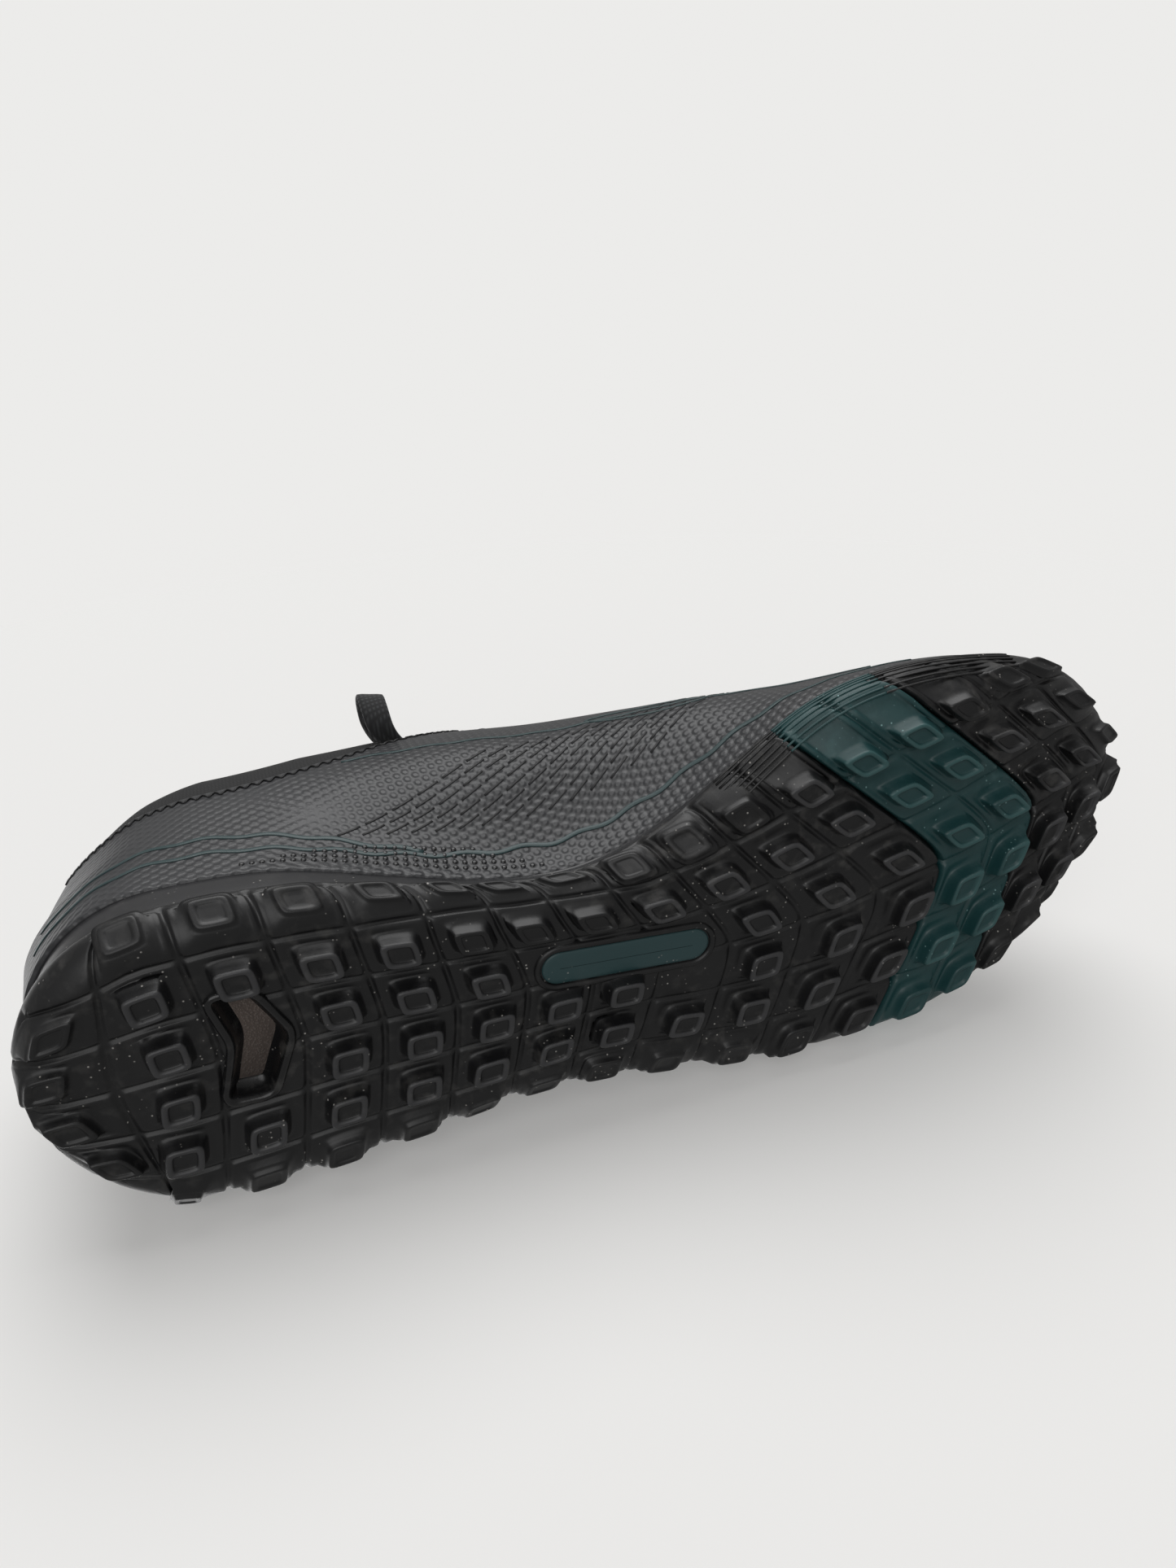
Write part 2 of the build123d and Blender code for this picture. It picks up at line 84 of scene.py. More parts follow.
# Rows of studs, heel to toe: first stud, crest and last stud of each row as (x, across)
ROWS = [
    ((-124, -30), (-137, -1), (-120, 30)),
    ((-114, -36), (-111, -2), (-118, 34)),
    ((-96, -36), (-92.5, -2), (-100, 34)),
    ((-79, -34), (-74.5, 0), (-82, 33)),
    ((-62, -31), (-58, 2), (-64, 33)),
    ((-47, -28), (-41, 3), (-49, 33)),
    ((-36, -25), (-24.5, 3), (-34, 32)),
    ((-22, -23), (-9, 4), (-19, 32)),
    ((-8, -22.5), (10, 8), (-3, 36)),
    ((6, -26), (27.5, 5), (16, 40)),
    ((19, -30.5), (49.5, 6), (32, 42)),
    ((31.5, -36), (70, 3), (49.5, 40.5)),
    ((45, -40.5), (86, -2), (66.5, 41.5)),
    ((59.5, -44), (101, -5), (81, 38)),
    ((73.5, -47), (115, -8), (94, 36)),
    ((87, -49), (128, -9), (105, 33)),
    ((101, -47), (139, -9), (116, 30)),
]
COLUMNS = 6
CREST_ROUND = 5.0
# Tiles, as (row, column), that carry no stud: the heel's corners, and those at the window and the badge
NO_STUD = {(0, 0), (0, 5), (2, 2), (2, 3), (6, 2), (7, 2), (8, 2), (8, 3)}
REAR_ROWS, BAND_ROWS = 12, 2

WINDOW = [(-101, -18), (-92, -17), (-86, -4), (-93, 11), (-103, 10), (-98, -5)]
WINDOW_REACH = 24.0
INLAY_CENTRE, INLAY_LENGTH, INLAY_WIDTH, INLAY_TILT = (-8, 1.4), 42.0, 8.6, 7.0

THROAT_FRONT, THROAT_HALF_FRONT, THROAT_HALF_BACK, THROAT_BACK = 34.0, 9.0, 17.0, -20.0
EYELETS = [30, 20, 10, 0, -10, -19]
EYELET_WIRE = 0.55

# ------------------------------------------------------------------ shape of the sole and the upper


def smooth(t):
    """Eased step from 0 to 1."""
    t = np.clip(t, 0, 1)
    return t * t * (3 - 2 * t)


def follow(table, x):
    """Smooth curve through a table of (x, value), level beyond its ends."""
    xs, vs = np.array(table, float).T
    after = np.minimum(np.arange(len(xs)) + 1, len(xs) - 1)
    before = np.maximum(np.arange(len(xs)) - 1, 0)
    slope = (vs[after] - vs[before]) / (xs[after] - xs[before])
    x = np.clip(x, xs[0], xs[-1])
    i = np.clip(np.searchsorted(xs, x, side="right") - 1, 0, len(xs) - 2)
    run = xs[i + 1] - xs[i]
    t = (x - xs[i]) / run
    return (vs[i] * (2 * t**3 - 3 * t**2 + 1) + slope[i] * run * (t**3 - 2 * t**2 + t)
            + vs[i + 1] * (3 * t**2 - 2 * t**3) + slope[i + 1] * run * (t**3 - t**2))


def spring(x):
    """Rise of the underside at the toe and the heel."""
    toe = np.maximum(0, (x - SPRING_FROM) / SPRING_RUN)
    heel = np.maximum(0, (HEEL_RISE_FROM - x) / HEEL_RISE_RUN)
    return TOE_SPRING * toe**2 + HEEL_RISE * heel**2


def closure(x, heel_x, toe_x):
    """Rounds the heel and toe ends, from 1 along the sides to 0 at the tips."""
    heel = np.maximum(0, (heel_x + HEEL_ROUND - x) / HEEL_ROUND)
    toe = np.clip((x - TOE_ROUND_FROM) / (toe_x - TOE_ROUND_FROM), 0, 1)
    return np.sqrt(np.maximum(0, 1 - heel**2)) * (1 - toe**2.2) ** 0.55


def outline(inset, points=440):
    """Closed plan of the sole moved inwards, evenly spaced, from the heel along the medial side."""
    turn = np.linspace(0, np.pi, 181)
    xs = (HEEL_X + TOE_X) / 2 - (TOE_X - HEEL_X) / 2 * np.cos(turn)
    rounding = closure(xs, HEEL_X, TOE_X)
    medial = np.stack([xs, -follow(MEDIAL, xs) * rounding], 1)
    lateral = np.stack([xs, follow(LATERAL, xs) * rounding], 1)[1:-1]
    loop = np.concatenate([medial, lateral[::-1]])
    return evenly(loop - outward(loop) * inset, points)


def outward(loop):
    """Outward normals of a closed plan loop."""
    along = np.roll(loop, -1, 0) - np.roll(loop, 1, 0)
    along /= np.linalg.norm(along, axis=1, keepdims=True)
    return np.stack([along[:, 1], -along[:, 0]], 1)


def evenly(loop, points):
    """The closed loop with evenly spaced points, lightly smoothed."""
    closed = np.concatenate([loop, loop[:1]])
    run = np.append(0, np.cumsum(np.linalg.norm(np.diff(closed, axis=0), axis=1)))
    at = np.linspace(0, run[-1], points, endpoint=False)
    even = np.stack([np.interp(at, run, closed[:, k]) for k in (0, 1)], 1)
    for _ in range(6):
        even = (np.roll(even, 1, 0) + 2 * even + np.roll(even, -1, 0)) / 4
    return even


class Rim:
    """Line where the flat underside starts to turn up into the side wall."""

    def __init__(self):
        self.points = outline(EDGE_ROUND)
        self.normals = outward(self.points)
        self.steps = np.roll(self.points, -1, 0) - self.points
        self.lengths = np.linalg.norm(self.steps, axis=1)
        self.run = np.append(0, np.cumsum(self.lengths))
        self.around = self.run[-1]

    def nearest(self, plan):
        """Place along the rim and distance outside it, for points of the flat tread pattern."""
        s, out = [], []
        for part in np.array_split(plan, max(1, len(plan) // 4000)):
            rel = part[:, None] - self.points[None]
            t = np.clip((rel * self.steps).sum(-1) / self.lengths**2, 0, 1)
            gap = rel - t[..., None] * self.steps
            far = np.linalg.norm(gap, axis=-1)
            i = far.argmin(1)
            pick = np.arange(len(part))
            s.append(self.run[i] + t[pick, i] * self.lengths[i])
            side = np.sign((gap[pick, i] * self.normals[i]).sum(-1))
            out.append(far[pick, i] * np.where(side == 0, 1, side))
        return np.concatenate(s), np.concatenate(out)

    def at(self, s):
        """Point and outward normal at a place along the rim."""
        s = np.mod(s, self.around)
        closed = np.concatenate([self.points, self.points[:1]])
        turned = np.concatenate([self.normals, self.normals[:1]])
        point = np.stack([np.interp(s, self.run, closed[:, k]) for k in (0, 1)], -1)
        normal = np.stack([np.interp(s, self.run, turned[:, k]) for k in (0, 1)], -1)
        return point, normal / np.linalg.norm(normal, axis=-1, keepdims=True)

    def top(self, s):
        """Distance outside the rim, measured over the surface, at which the rubber wall ends."""
        point, normal = self.at(s)
        x = point[..., 0] + normal[..., 0] * EDGE_ROUND
        return EDGE_ROUND * (np.pi / 2 - 1) + follow(WALL_TOP, x) - STUD_HEIGHT


rim = Rim()


def lattice(row, column):
    """Place on the flat tread pattern, whole numbers being stud centres."""
    row, column = np.broadcast_arrays(np.asarray(row, float), np.asarray(column, float))
    rows = np.array(ROWS, float)
    low = np.clip(np.floor(row).astype(int), 0, len(rows) - 2)
    part = (row - low)[..., None, None]
    first, crest, last = np.moveaxis(rows[low] * (1 - part) + rows[low + 1] * part, -2, 0)
    y = first[..., 1] + (last[..., 1] - first[..., 1]) * column / (COLUMNS - 1)
    medial = (crest[..., 0] - first[..., 0]) / (crest[..., 1] - first[..., 1])
    lateral = (crest[..., 0] - last[..., 0]) / (last[..., 1] - crest[..., 1])
    d = y - crest[..., 1]
    bend = np.sqrt(d * d + CREST_ROUND**2) - CREST_ROUND
    return np.stack([crest[..., 0] - (medial + lateral) / 2 * bend + (medial - lateral) / 2 * d, y], -1)


def soften(out, s):
    """Keeps the pattern's edge just under the top of the wall."""
    cap = rim.top(s) - 0.9
    knee = cap / 2
    return np.where(out < knee, out, knee + (cap - knee) * (1 - np.exp((knee - out) / (cap - knee))))


def wrapped(plan, s, out, lift=0.0):
    """Points of the tread on the rounded underside, and their outward normals."""
    point, normal = rim.at(s)
    turn = np.clip(out / EDGE_ROUND, 0, np.pi / 2)
    reach = EDGE_ROUND * np.sin(turn)
    wall = np.maximum(0, out - EDGE_ROUND * np.pi / 2)
    inside = (out <= 0)[..., None]
    flat = np.where(inside, plan, point + normal * reach[..., None])
    z = STUD_HEIGHT + EDGE_ROUND * (1 - np.cos(turn)) + wall + spring(flat[..., 0])
    side = np.where(inside, 0, normal * np.sin(turn)[..., None])
    facing = np.concatenate([side, -np.cos(turn)[..., None]], -1)
    facing = facing / np.linalg.norm(facing, axis=-1, keepdims=True)
    return np.concatenate([flat, z[..., None]], -1) + facing * np.asarray(lift)[..., None], facing


def on_sole(plan, lift=0.0):
    """Points on the underside for places of the flat tread pattern, and their outward normals."""
    shape = plan.shape[:-1]
    s, out = rim.nearest(plan.reshape(-1, 2))
    s, out = s.reshape(shape), out.reshape(shape)
    return wrapped(plan, s, soften(out, s), np.broadcast_to(lift, shape))


def foot_line(x):
    """Height at which the upper meets the foxing band."""
    return follow(BITE, x) + spring(x) + 0.15


def girth_height(x):
    """Height of the upper's ridge above its foot."""
    toe = np.clip((x - TOE_ROUND_FROM) / (UPPER_TOE_X - TOE_ROUND_FROM), 0, 1)
    return (follow(RIDGE, x) - follow(BITE, x)) * np.sqrt(1 - toe**4)


def on_upper(x, u, side, inset=0.0):
    """Point of the upper at station x and share u of its height; side is -1 medial, 1 lateral."""
    x, u, side = np.broadcast_arrays(*[np.asarray(v, float) for v in (x, u, side)])
    rounding = closure(x, UPPER_HEEL_X, UPPER_TOE_X)
    sole = np.where(side < 0, follow(MEDIAL, x), follow(LATERAL, x)) - 1.4
    belly = np.where(side < 0, follow(UPPER_MEDIAL, x), follow(UPPER_LATERAL, x))
    width = sole + (belly - sole) * smooth(u / 0.45) - inset
    y = side * width * rounding * np.sqrt(np.maximum(0, 1 - u**3))
    z = foot_line(x) + (girth_height(x) - inset) * u
    y = y * (1 - 0.3 * smooth((z - 22) / 40) * smooth((-95 - x) / 50))
    lean = np.interp(z, [18, 50, 84, 112], [3, 0, 7, 12])
    back = smooth((-95 - x) / 50)
    return np.stack([x + lean * back + inset * back - inset * smooth((x - 120) / 20), y, z], -1)


def collar_line(x):
    """Height of the upper's edge round the foot opening."""
    return follow(COLLAR, x)


def throat_half(x):
    """Half width of the lacing gap."""
    slope = (THROAT_HALF_BACK - THROAT_HALF_FRONT) / (25 - THROAT_BACK)
    wide = THROAT_HALF_FRONT + (25 - np.clip(x, THROAT_BACK, 25)) * slope
    nose = np.sqrt(np.maximum(0, 1 - np.clip((x - 25) / (THROAT_FRONT - 25), 0, 1) ** 2))
    return wide * nose


def edge_share(x, side):
    """Share of the height at which the upper's sheet ends: at the collar, the throat or the ridge."""
    table = np.where(side < 0, follow(UPPER_MEDIAL, x), follow(UPPER_LATERAL, x))
    half = throat_half(x) / np.maximum(table * closure(x, UPPER_HEEL_X, UPPER_TOE_X), 1)
    throat = np.maximum(0, 1 - np.minimum(half, 1) ** 2) ** (1 / 3)
    throat = np.where(x < -60, 1, throat)
    collar = (collar_line(x) - foot_line(x)) / np.maximum(girth_height(x), 1)
    return np.where(x > -10, throat, np.minimum(throat, np.clip(collar, 0, 1)))


# ------------------------------------------------------------------ mesh making


def new_piece(name, points, faces, material, merge=0.0):
    """Mesh object in metres from points in millimetres, with consistent normals."""
    mesh = bpy.data.meshes.new(name)
    mesh.from_pydata((np.asarray(points, float).reshape(-1, 3) * MM + MIDDLE).tolist(), [], faces)
    work = bmesh.new()
    work.from_mesh(mesh)
    if merge:
        bmesh.ops.remove_doubles(work, verts=work.verts, dist=merge * MM)
        bmesh.ops.dissolve_degenerate(work, edges=work.edges, dist=1e-7)
    bmesh.ops.recalc_face_normals(work, faces=work.faces)
    for face in work.faces:
        face.smooth = True
    work.to_mesh(mesh)
    work.free()
    piece = bpy.data.objects.new(name, mesh)
    bpy.context.scene.collection.objects.link(piece)
    mesh.materials.append(material)
    return piece


def grid_faces(rows, columns, closed=False):
    """Quads over a grid of points stored row by row."""
    faces = []
    for i in range(rows - 1):
        for j in range(columns if closed else columns - 1):
            a, b = i * columns + j, i * columns + (j + 1) % columns
            faces.append((a, b, b + columns, a + columns))
    return faces


class Shape:
    """Collects grids and polygons of points before they become one piece."""

    def __init__(self):
        self.points, self.faces, self.count = [], [], 0

    def add(self, points, faces):
        points = np.asarray(points, float).reshape(-1, 3)
        self.points.append(points)
        self.faces += [tuple(self.count + k for k in face) for face in faces]
        self.count += len(points)

    def grid(self, points, closed=False):
        rows, columns = points.shape[:2]
        self.add(points, grid_faces(rows, columns, closed))

    def tube(self, points):
        """Closed rings of points with a face over the first and the last."""
        rows, columns = points.shape[:2]
        ends = [tuple(range(columns))[::-1], tuple((rows - 1) * columns + k for k in range(columns))]
        self.add(points, grid_faces(rows, columns, closed=True) + ends)

    def piece(self, name, material, merge=0.01):
        return new_piece(name, np.concatenate(self.points), self.faces, material, merge)


def apply_modifiers(piece):
    """Leaves the piece with the mesh its modifiers make."""
    graph = bpy.context.evaluated_depsgraph_get()
    made = bpy.data.meshes.new_from_object(piece.evaluated_get(graph))
    piece.modifiers.clear()
    piece.data = made


def thicken(piece, thickness):
    """Gives the sheet its thickness, on its inner side."""
    shell = piece.modifiers.new("thickness", "SOLIDIFY")
    shell.thickness = thickness * MM
    shell.offset = -1
    shell.use_even_offset = False
    apply_modifiers(piece)
    for face in piece.data.polygons:
        face.use_smooth = True


def through(points, step):
    """Smooth line through the points, sampled about every step."""
    points = np.asarray(points, float)
    ends = np.concatenate([2 * points[:1] - points[1:2], points, 2 * points[-1:] - points[-2:-1]])
    made = []
    for k in range(1, len(ends) - 2):
        a, b, c, d = ends[k - 1:k + 3]
        count = max(2, int(np.linalg.norm(c - b) / step))
        t = np.linspace(0, 1, count, endpoint=False)[:, None]
        made.append(0.5 * (2 * b + (c - a) * t + (2 * a - 5 * b + 4 * c - d) * t**2
                           + (3 * b - a - 3 * c + d) * t**3))
    return np.concatenate(made + [points[-1:]])


def tangents(line):
    """Unit directions along a line of points."""
    along = np.gradient(line, axis=0)
    return along / np.maximum(np.linalg.norm(along, axis=-1, keepdims=True), 1e-9)


def sweep(shape, line, across, section, closed=False):
    """Sweeps a section of (sideways, outward) offsets along a line; across is the sideways direction."""
    along = np.roll(line, -1, 0) - np.roll(line, 1, 0) if closed else np.gradient(line, axis=0)
    along /= np.linalg.norm(along, axis=1, keepdims=True)
    across = across - (across * along).sum(1, keepdims=True) * along
    across /= np.linalg.norm(across, axis=1, keepdims=True)
    outward_way = np.cross(along, across)
    section = np.asarray(section, float)
    points = (line[:, None] + across[:, None] * section[None, :, :1]
              + outward_way[:, None] * section[None, :, 1:])
    if not closed:
        shape.tube(points)
        return
    count = len(section)
    last = (len(line) - 1) * count
    joint = [(last + j, last + (j + 1) % count, (j + 1) % count, j) for j in range(count)]
    shape.add(points, grid_faces(len(line), count, closed=True) + joint)


def flat_section(width, thick):
    """Rounded flat section."""
    corners = [(-1, 0), (-0.93, 0.7), (-0.55, 1), (0, 1), (0.55, 1), (0.93, 0.7),
               (1, 0), (0.93, -0.7), (0.55, -1), (0, -1), (-0.55, -1), (-0.93, -0.7)]
    return [(width / 2 * a, thick / 2 * b) for a, b in corners]


# ------------------------------------------------------------------ materials


class Nodes:
    """Short calls for making the nodes of a material or of a node group."""

    def __init__(self, tree):
        self.nodes, self.links = tree.nodes, tree.links

    def node(self, kind, inputs=None, **settings):
        made = self.nodes.new(kind)
        for key, value in settings.items():
            setattr(made, key, value)
        for key, value in (inputs or {}).items():
            if isinstance(value, bpy.types.NodeSocket):
                self.links.new(value, made.inputs[key])
            else:
                made.inputs[key].default_value = value
        return made

    def math(self, operation, a, b=0.0):
        return self.node("ShaderNodeMath", {0: a, 1: b}, operation=operation).outputs[0]

    def place(self):
        return self.node("ShaderNodeTexCoord").outputs["Object"]

    def noise(self, scale, detail):
        made = self.node("ShaderNodeTexNoise", {"Vector": self.place(), "Scale": scale, "Detail": detail})
        return made.outputs["Fac"]

    def ramp(self, value, low, high):
        """Value from 0 at low to 1 at high."""
        inputs = {"Value": value, "From Min": low, "From Max": high}
        return self.node("ShaderNodeMapRange", inputs).outputs["Result"]

    def blend(self, factor, a, b):
        """Colour a where factor is 0 and b where it is 1."""
        a, b = [color if isinstance(color, bpy.types.NodeSocket) else (*color, 1) for color in (a, b)]
        return self.node("ShaderNodeMix", {0: factor, 6: a, 7: b}, data_type="RGBA").outputs[2]


class Material(Nodes):
    """Principled material, with plain values given by socket name."""

    def __init__(self, name, color, roughness, **plain):
        self.material = bpy.data.materials.new(name)
        self.material.use_nodes = True
        super().__init__(self.material.node_tree)
        self.shader = self.nodes["Principled BSDF"]
        self.shader.inputs["Base Color"].default_value = (*color, 1)
        self.shader.inputs["Roughness"].default_value = roughness
        for key, value in plain.items():
            self.shader.inputs[key].default_value = value

    def group(self, tree, inputs):
        """Places a node group with its own values."""
        return self.node("ShaderNodeGroup", inputs, node_tree=tree)

    def feed(self, name, value):
        self.links.new(value, self.shader.inputs[name])

    def bump(self, height, strength, distance):
        made = self.node("ShaderNodeBump", {"Height": height, "Strength": strength, "Distance": distance})
        self.feed("Normal", made.outputs["Normal"])


class Group(Nodes):
    """Shader node group with named inputs and outputs."""

    def __init__(self, name, inputs, outputs):
        self.tree = bpy.data.node_groups.new(name, "ShaderNodeTree")
        super().__init__(self.tree)
        for label, value in inputs.items():
            kind = "NodeSocketColor" if isinstance(value, tuple) else "NodeSocketFloat"
            made = self.tree.interface.new_socket(label, in_out="INPUT", socket_type=kind)
            made.default_value = (*value, 1) if isinstance(value, tuple) else value
        for label, kind in outputs.items():
            self.tree.interface.new_socket(label, in_out="OUTPUT", socket_type=kind)
        self.given = self.nodes.new("NodeGroupInput").outputs
        self.result = self.nodes.new("NodeGroupOutput").inputs


def make_dust_group():
    """White specks, grey scuffs and a broad change of tone for rubber."""
    made = Group("dust_and_scuffs", {"Color": (0.02, 0.02, 0.02), "Dust Color": (0.6, 0.58, 0.55),
                                     "Speck": 0.5, "Scuff": 0.3},
                 {"Color": "NodeSocketColor", "Roughness Change": "NodeSocketFloat",
                  "Height": "NodeSocketFloat"})
    cells = made.node("ShaderNodeTexVoronoi", {"Vector": made.place(), "Scale": 560.0})
    near = made.ramp(cells.outputs["Distance"], 0.16, 0.06)
    chance = made.ramp(made.noise(90.0, 5.0), 0.52, 0.6)
    speck = made.math("MULTIPLY", made.math("MULTIPLY", near, chance), made.given["Speck"])
    broad = made.noise(28.0, 6.0)
    streak = made.ramp(made.noise(260.0, 8.0), 0.52, 0.72)
    patches = made.math("MULTIPLY", streak, made.ramp(broad, 0.42, 0.66))
    scuff = made.math("MULTIPLY", patches, made.given["Scuff"])
    lit_top_color = made.blend(scuff, made.given["Color"], made.given["Dust Color"])
    made.links.new(made.blend(speck, lit_top_color, made.given["Dust Color"]), made.result["Color"])
    rougher = made.math("ADD", scuff, made.math("MULTIPLY", broad, 0.2))
    made.links.new(rougher, made.result["Roughness Change"])
    made.links.new(made.math("ADD", made.noise(900.0, 4.0), speck), made.result["Height"])
    return made.tree


dust = make_dust_group()


def rubber(name, color, roughness, speck=0.8, scuff=0.08, dust_color=(0.5, 0.48, 0.45), lit_top_color=None):
    """Moulded or coated surface with dust and scuffs; the optional lighter colour is painted highlight on the
    parts nearest the ground, the stud tops.
    """
    made = Material(name, color, roughness)
    color_with_lit_tops = (*color, 1)
    # Painted highlight: the stud tops get a lighter colour as if lit, mixed in by their mask
    if lit_top_color:
        tops = made.node("ShaderNodeAttribute", attribute_name="scuffs_and_lit_tops").outputs["Fac"]
        color_with_lit_tops = made.blend(tops, color, lit_top_color)
    look = {"Color": color_with_lit_tops, "Dust Color": (*dust_color, 1), "Speck": speck, "Scuff": scuff}
    # The group adds dust and scuffs over the painted highlight of the stud tops
    scuffs_and_lit_tops = made.group(dust, look)
    made.feed("Base Color", scuffs_and_lit_tops.outputs["Color"])
    made.feed("Roughness", made.math("ADD", scuffs_and_lit_tops.outputs["Roughness Change"], roughness - 0.1))
    made.bump(scuffs_and_lit_tops.outputs["Height"], 0.25, 0.0001)
    return made.material


RELIEF_PITCH = 0.0022


def make_relief_group():
    """Raised diamonds at the heel that turn into rounder cells over the midfoot and toe."""
    made = Group("knit_relief", {"Pitch": RELIEF_PITCH}, {"Height": "NodeSocketFloat"})
    cloth = made.node("ShaderNodeAttribute", attribute_name="cloth").outputs["Vector"]

    def waves(angles, stretch):
        total = 0.0
        for angle in angles:
            way = (math.cos(math.radians(angle)) * stretch, math.sin(math.radians(angle)), 0.0)
            turned = made.node("ShaderNodeVectorMath", {0: cloth, 1: way}, operation="DOT_PRODUCT")
            phase = made.math("DIVIDE", turned.outputs["Value"], made.given["Pitch"])
            total = made.math("ADD", made.math("COSINE", made.math("MULTIPLY", phase, 2 * math.pi)), total)
        return total

    round_cells = made.ramp(waves((0, 60, 120), 1.0), -1.2, 1.6)
    diamonds = made.ramp(waves((50, 130), 0.9), -1.5, 1.0)
    parts = made.node("ShaderNodeSeparateXYZ", {"Vector": cloth}).outputs
    share = made.ramp(parts["X"], -0.1, -0.05)
    both = made.node("ShaderNodeMix", {0: share, 2: diamonds, 3: round_cells}, data_type="FLOAT")
    made.links.new(both.outputs[0], made.result["Height"])
    return made.tree


relief = make_relief_group()


def coated_knit(name, color, light, roughness):
    """Coated knit with a regular relief."""
    made = Material(name, color, roughness)
    cells = made.group(relief, {"Pitch": RELIEF_PITCH}).outputs["Height"]
    tone = made.math("MULTIPLY", cells, made.ramp(made.noise(22.0, 5.0), 0.2, 0.8))
    made.feed("Base Color", made.blend(tone, color, light))
    made.bump(cells, 0.6, 0.0004)
    return made.material


def open_foam(name, color, light, scale, roughness, strength):
    """Open foam with small cells."""
    made = Material(name, color, roughness)
    cells = made.node("ShaderNodeTexVoronoi", {"Vector": made.place(), "Scale": scale})
    height = made.ramp(cells.outputs["Distance"], 0.6, 0.1)
    made.feed("Base Color", made.blend(height, color, light))
    made.bump(height, strength, 0.0004)
    return made.material


WAVE_OF_ONE_METRE = 0.31  # Wave texture scale at which one band is about a metre wide


def weave(name, color, light, pitch, roughness=0.8, strength=0.5, sheen=0.15):
    """Woven cloth of a given pitch in metres."""
    made = Material(name, color, roughness, **{"Sheen Weight": sheen})
    yarns = {"Vector": made.place(), "Scale": WAVE_OF_ONE_METRE / pitch, "Distortion": 0.4}
    across, down = [made.node("ShaderNodeTexWave", yarns, bands_direction=way).outputs["Fac"] for way in "XZ"]
    over = made.math("MULTIPLY", across, down)
    made.feed("Base Color", made.blend(over, color, light))
    made.bump(over, strength, 0.0003)
    return made.material


BLACK = (0.006, 0.006, 0.0066)
GREY = (0.03, 0.0305, 0.033)
TEAL = (0.009, 0.047, 0.049)
# The lighter second colours of the tread rubbers are painted highlight on the stud tops
black_rubber = rubber("black_rubber", BLACK, 0.42, lit_top_color=(0.036, 0.036, 0.038))
teal_rubber = rubber("teal_rubber", TEAL, 0.44, dust_color=(0.25, 0.42, 0.42), lit_top_color=(0.028, 0.085, 0.086))
film = rubber("sidewall_film", (0.02, 0.02, 0.0215), 0.36, speck=0.5, scuff=0.05)
gloss_film = rubber("gloss_film", (0.014, 0.014, 0.015), 0.14, speck=0.2, scuff=0.02)
window_plastic = rubber("window_plastic", (0.006, 0.006, 0.0065), 0.22, speck=0.5)
badge = rubber("badge_blank", (0.022, 0.056, 0.06), 0.45, speck=0.4, scuff=0.04)
foam = open_foam("window_foam", (0.2, 0.16, 0.14), (0.27, 0.225, 0.2), 1800.0, 0.8, 0.2)
upper_knit = coated_knit("coated_knit", GREY, (0.05, 0.051, 0.054), 0.42)
print_film = rubber("print_film", (0.018, 0.042, 0.044), 0.4, speck=0.1, scuff=0.02)
lining_knit = weave("lining_knit", (0.004, 0.004, 0.0045), (0.011, 0.011, 0.012), 0.0009, sheen=0.03)
lace_weave = weave("lace_weave", (0.006, 0.006, 0.007), (0.03, 0.032, 0.034), 0.0011)
foot_cloth = weave("footbed_cloth", (0.012, 0.012, 0.013), (0.03, 0.03, 0.032), 0.0012)
thread = rubber("stitch_thread", (0.012, 0.012, 0.013), 0.6, speck=0.0)
tip_plastic = rubber("tip_plastic", (0.01, 0.01, 0.011), 0.25, speck=0.1)
board_cloth = weave("board_cloth", (0.4, 0.39, 0.36), (0.55, 0.54, 0.5), 0.001)
stiffener = rubber("stiffener", (0.3, 0.29, 0.27), 0.6, speck=0.0)

# ------------------------------------------------------------------ outsole

SIDE_STEPS = np.array([-1, -0.94, -0.86, -0.62, -0.22, 0.22, 0.62, 0.86, 0.94])
TILE = 1.4
LARGEST_PITCH = 16.0
EDGE_STUD_LOSS, TOE_STUD_LOSS, TOE_STUD_ROW = 0.7, 0.5, 14
# Profiles of the grooves as (share of the cell, share of the tile's height). Rings of a tile and of a
# stud as (half size in cells, power of the rounding) and, for a stud, its height
GROOVE_LOW, CHANNEL_LOW = 0.4, -1.2
GROOVE = [(0, GROOVE_LOW), (0.02, GROOVE_LOW), (0.045, 0.92), (0.07, 1)]
CHANNEL = [(0, CHANNEL_LOW), (0.02, 0.1), (0.045, 1.22), (0.085, 1.24), (0.14, 1.0)]
SURFACE_RINGS = [(0.5, 0), (0.482, 30), (0.458, 14), (0.435, 11), (0.40, 9), (0.36, 7)]
FLAT_RINGS = [(0.26, 5), (0.12, 4)]
STUD_RINGS = [(0.35, 5, 1.4), (0.315, 5, 2.0), (0.285, 5, 3.2), (0.265, 5, 4.7), (0.257, 5, 5.2),
              (0.236, 5, 5.48), (0.205, 5, 5.5), (0.178, 5, 5.3), (0.16, 5, 4.75), (0.147, 5, 4.55),
              (0.07, 4, 4.6)]


def square_ring():
    """Points round a square of half side 1, anticlockwise."""
    t, one = SIDE_STEPS, np.ones(len(SIDE_STEPS))
    sides = [(t, -one), (one, t), (-t, one), (-one, -t)]
    return np.concatenate([np.stack(side, 1) for side in sides])


SQUARE = square_ring()


def ring(half, power):
    """Square ring with rounded corners; power 0 keeps it square."""
    if not power:
        return SQUARE * half
    size = (np.abs(SQUARE) ** power).sum(1) ** (1 / power)
    return SQUARE / size[:, None] * half


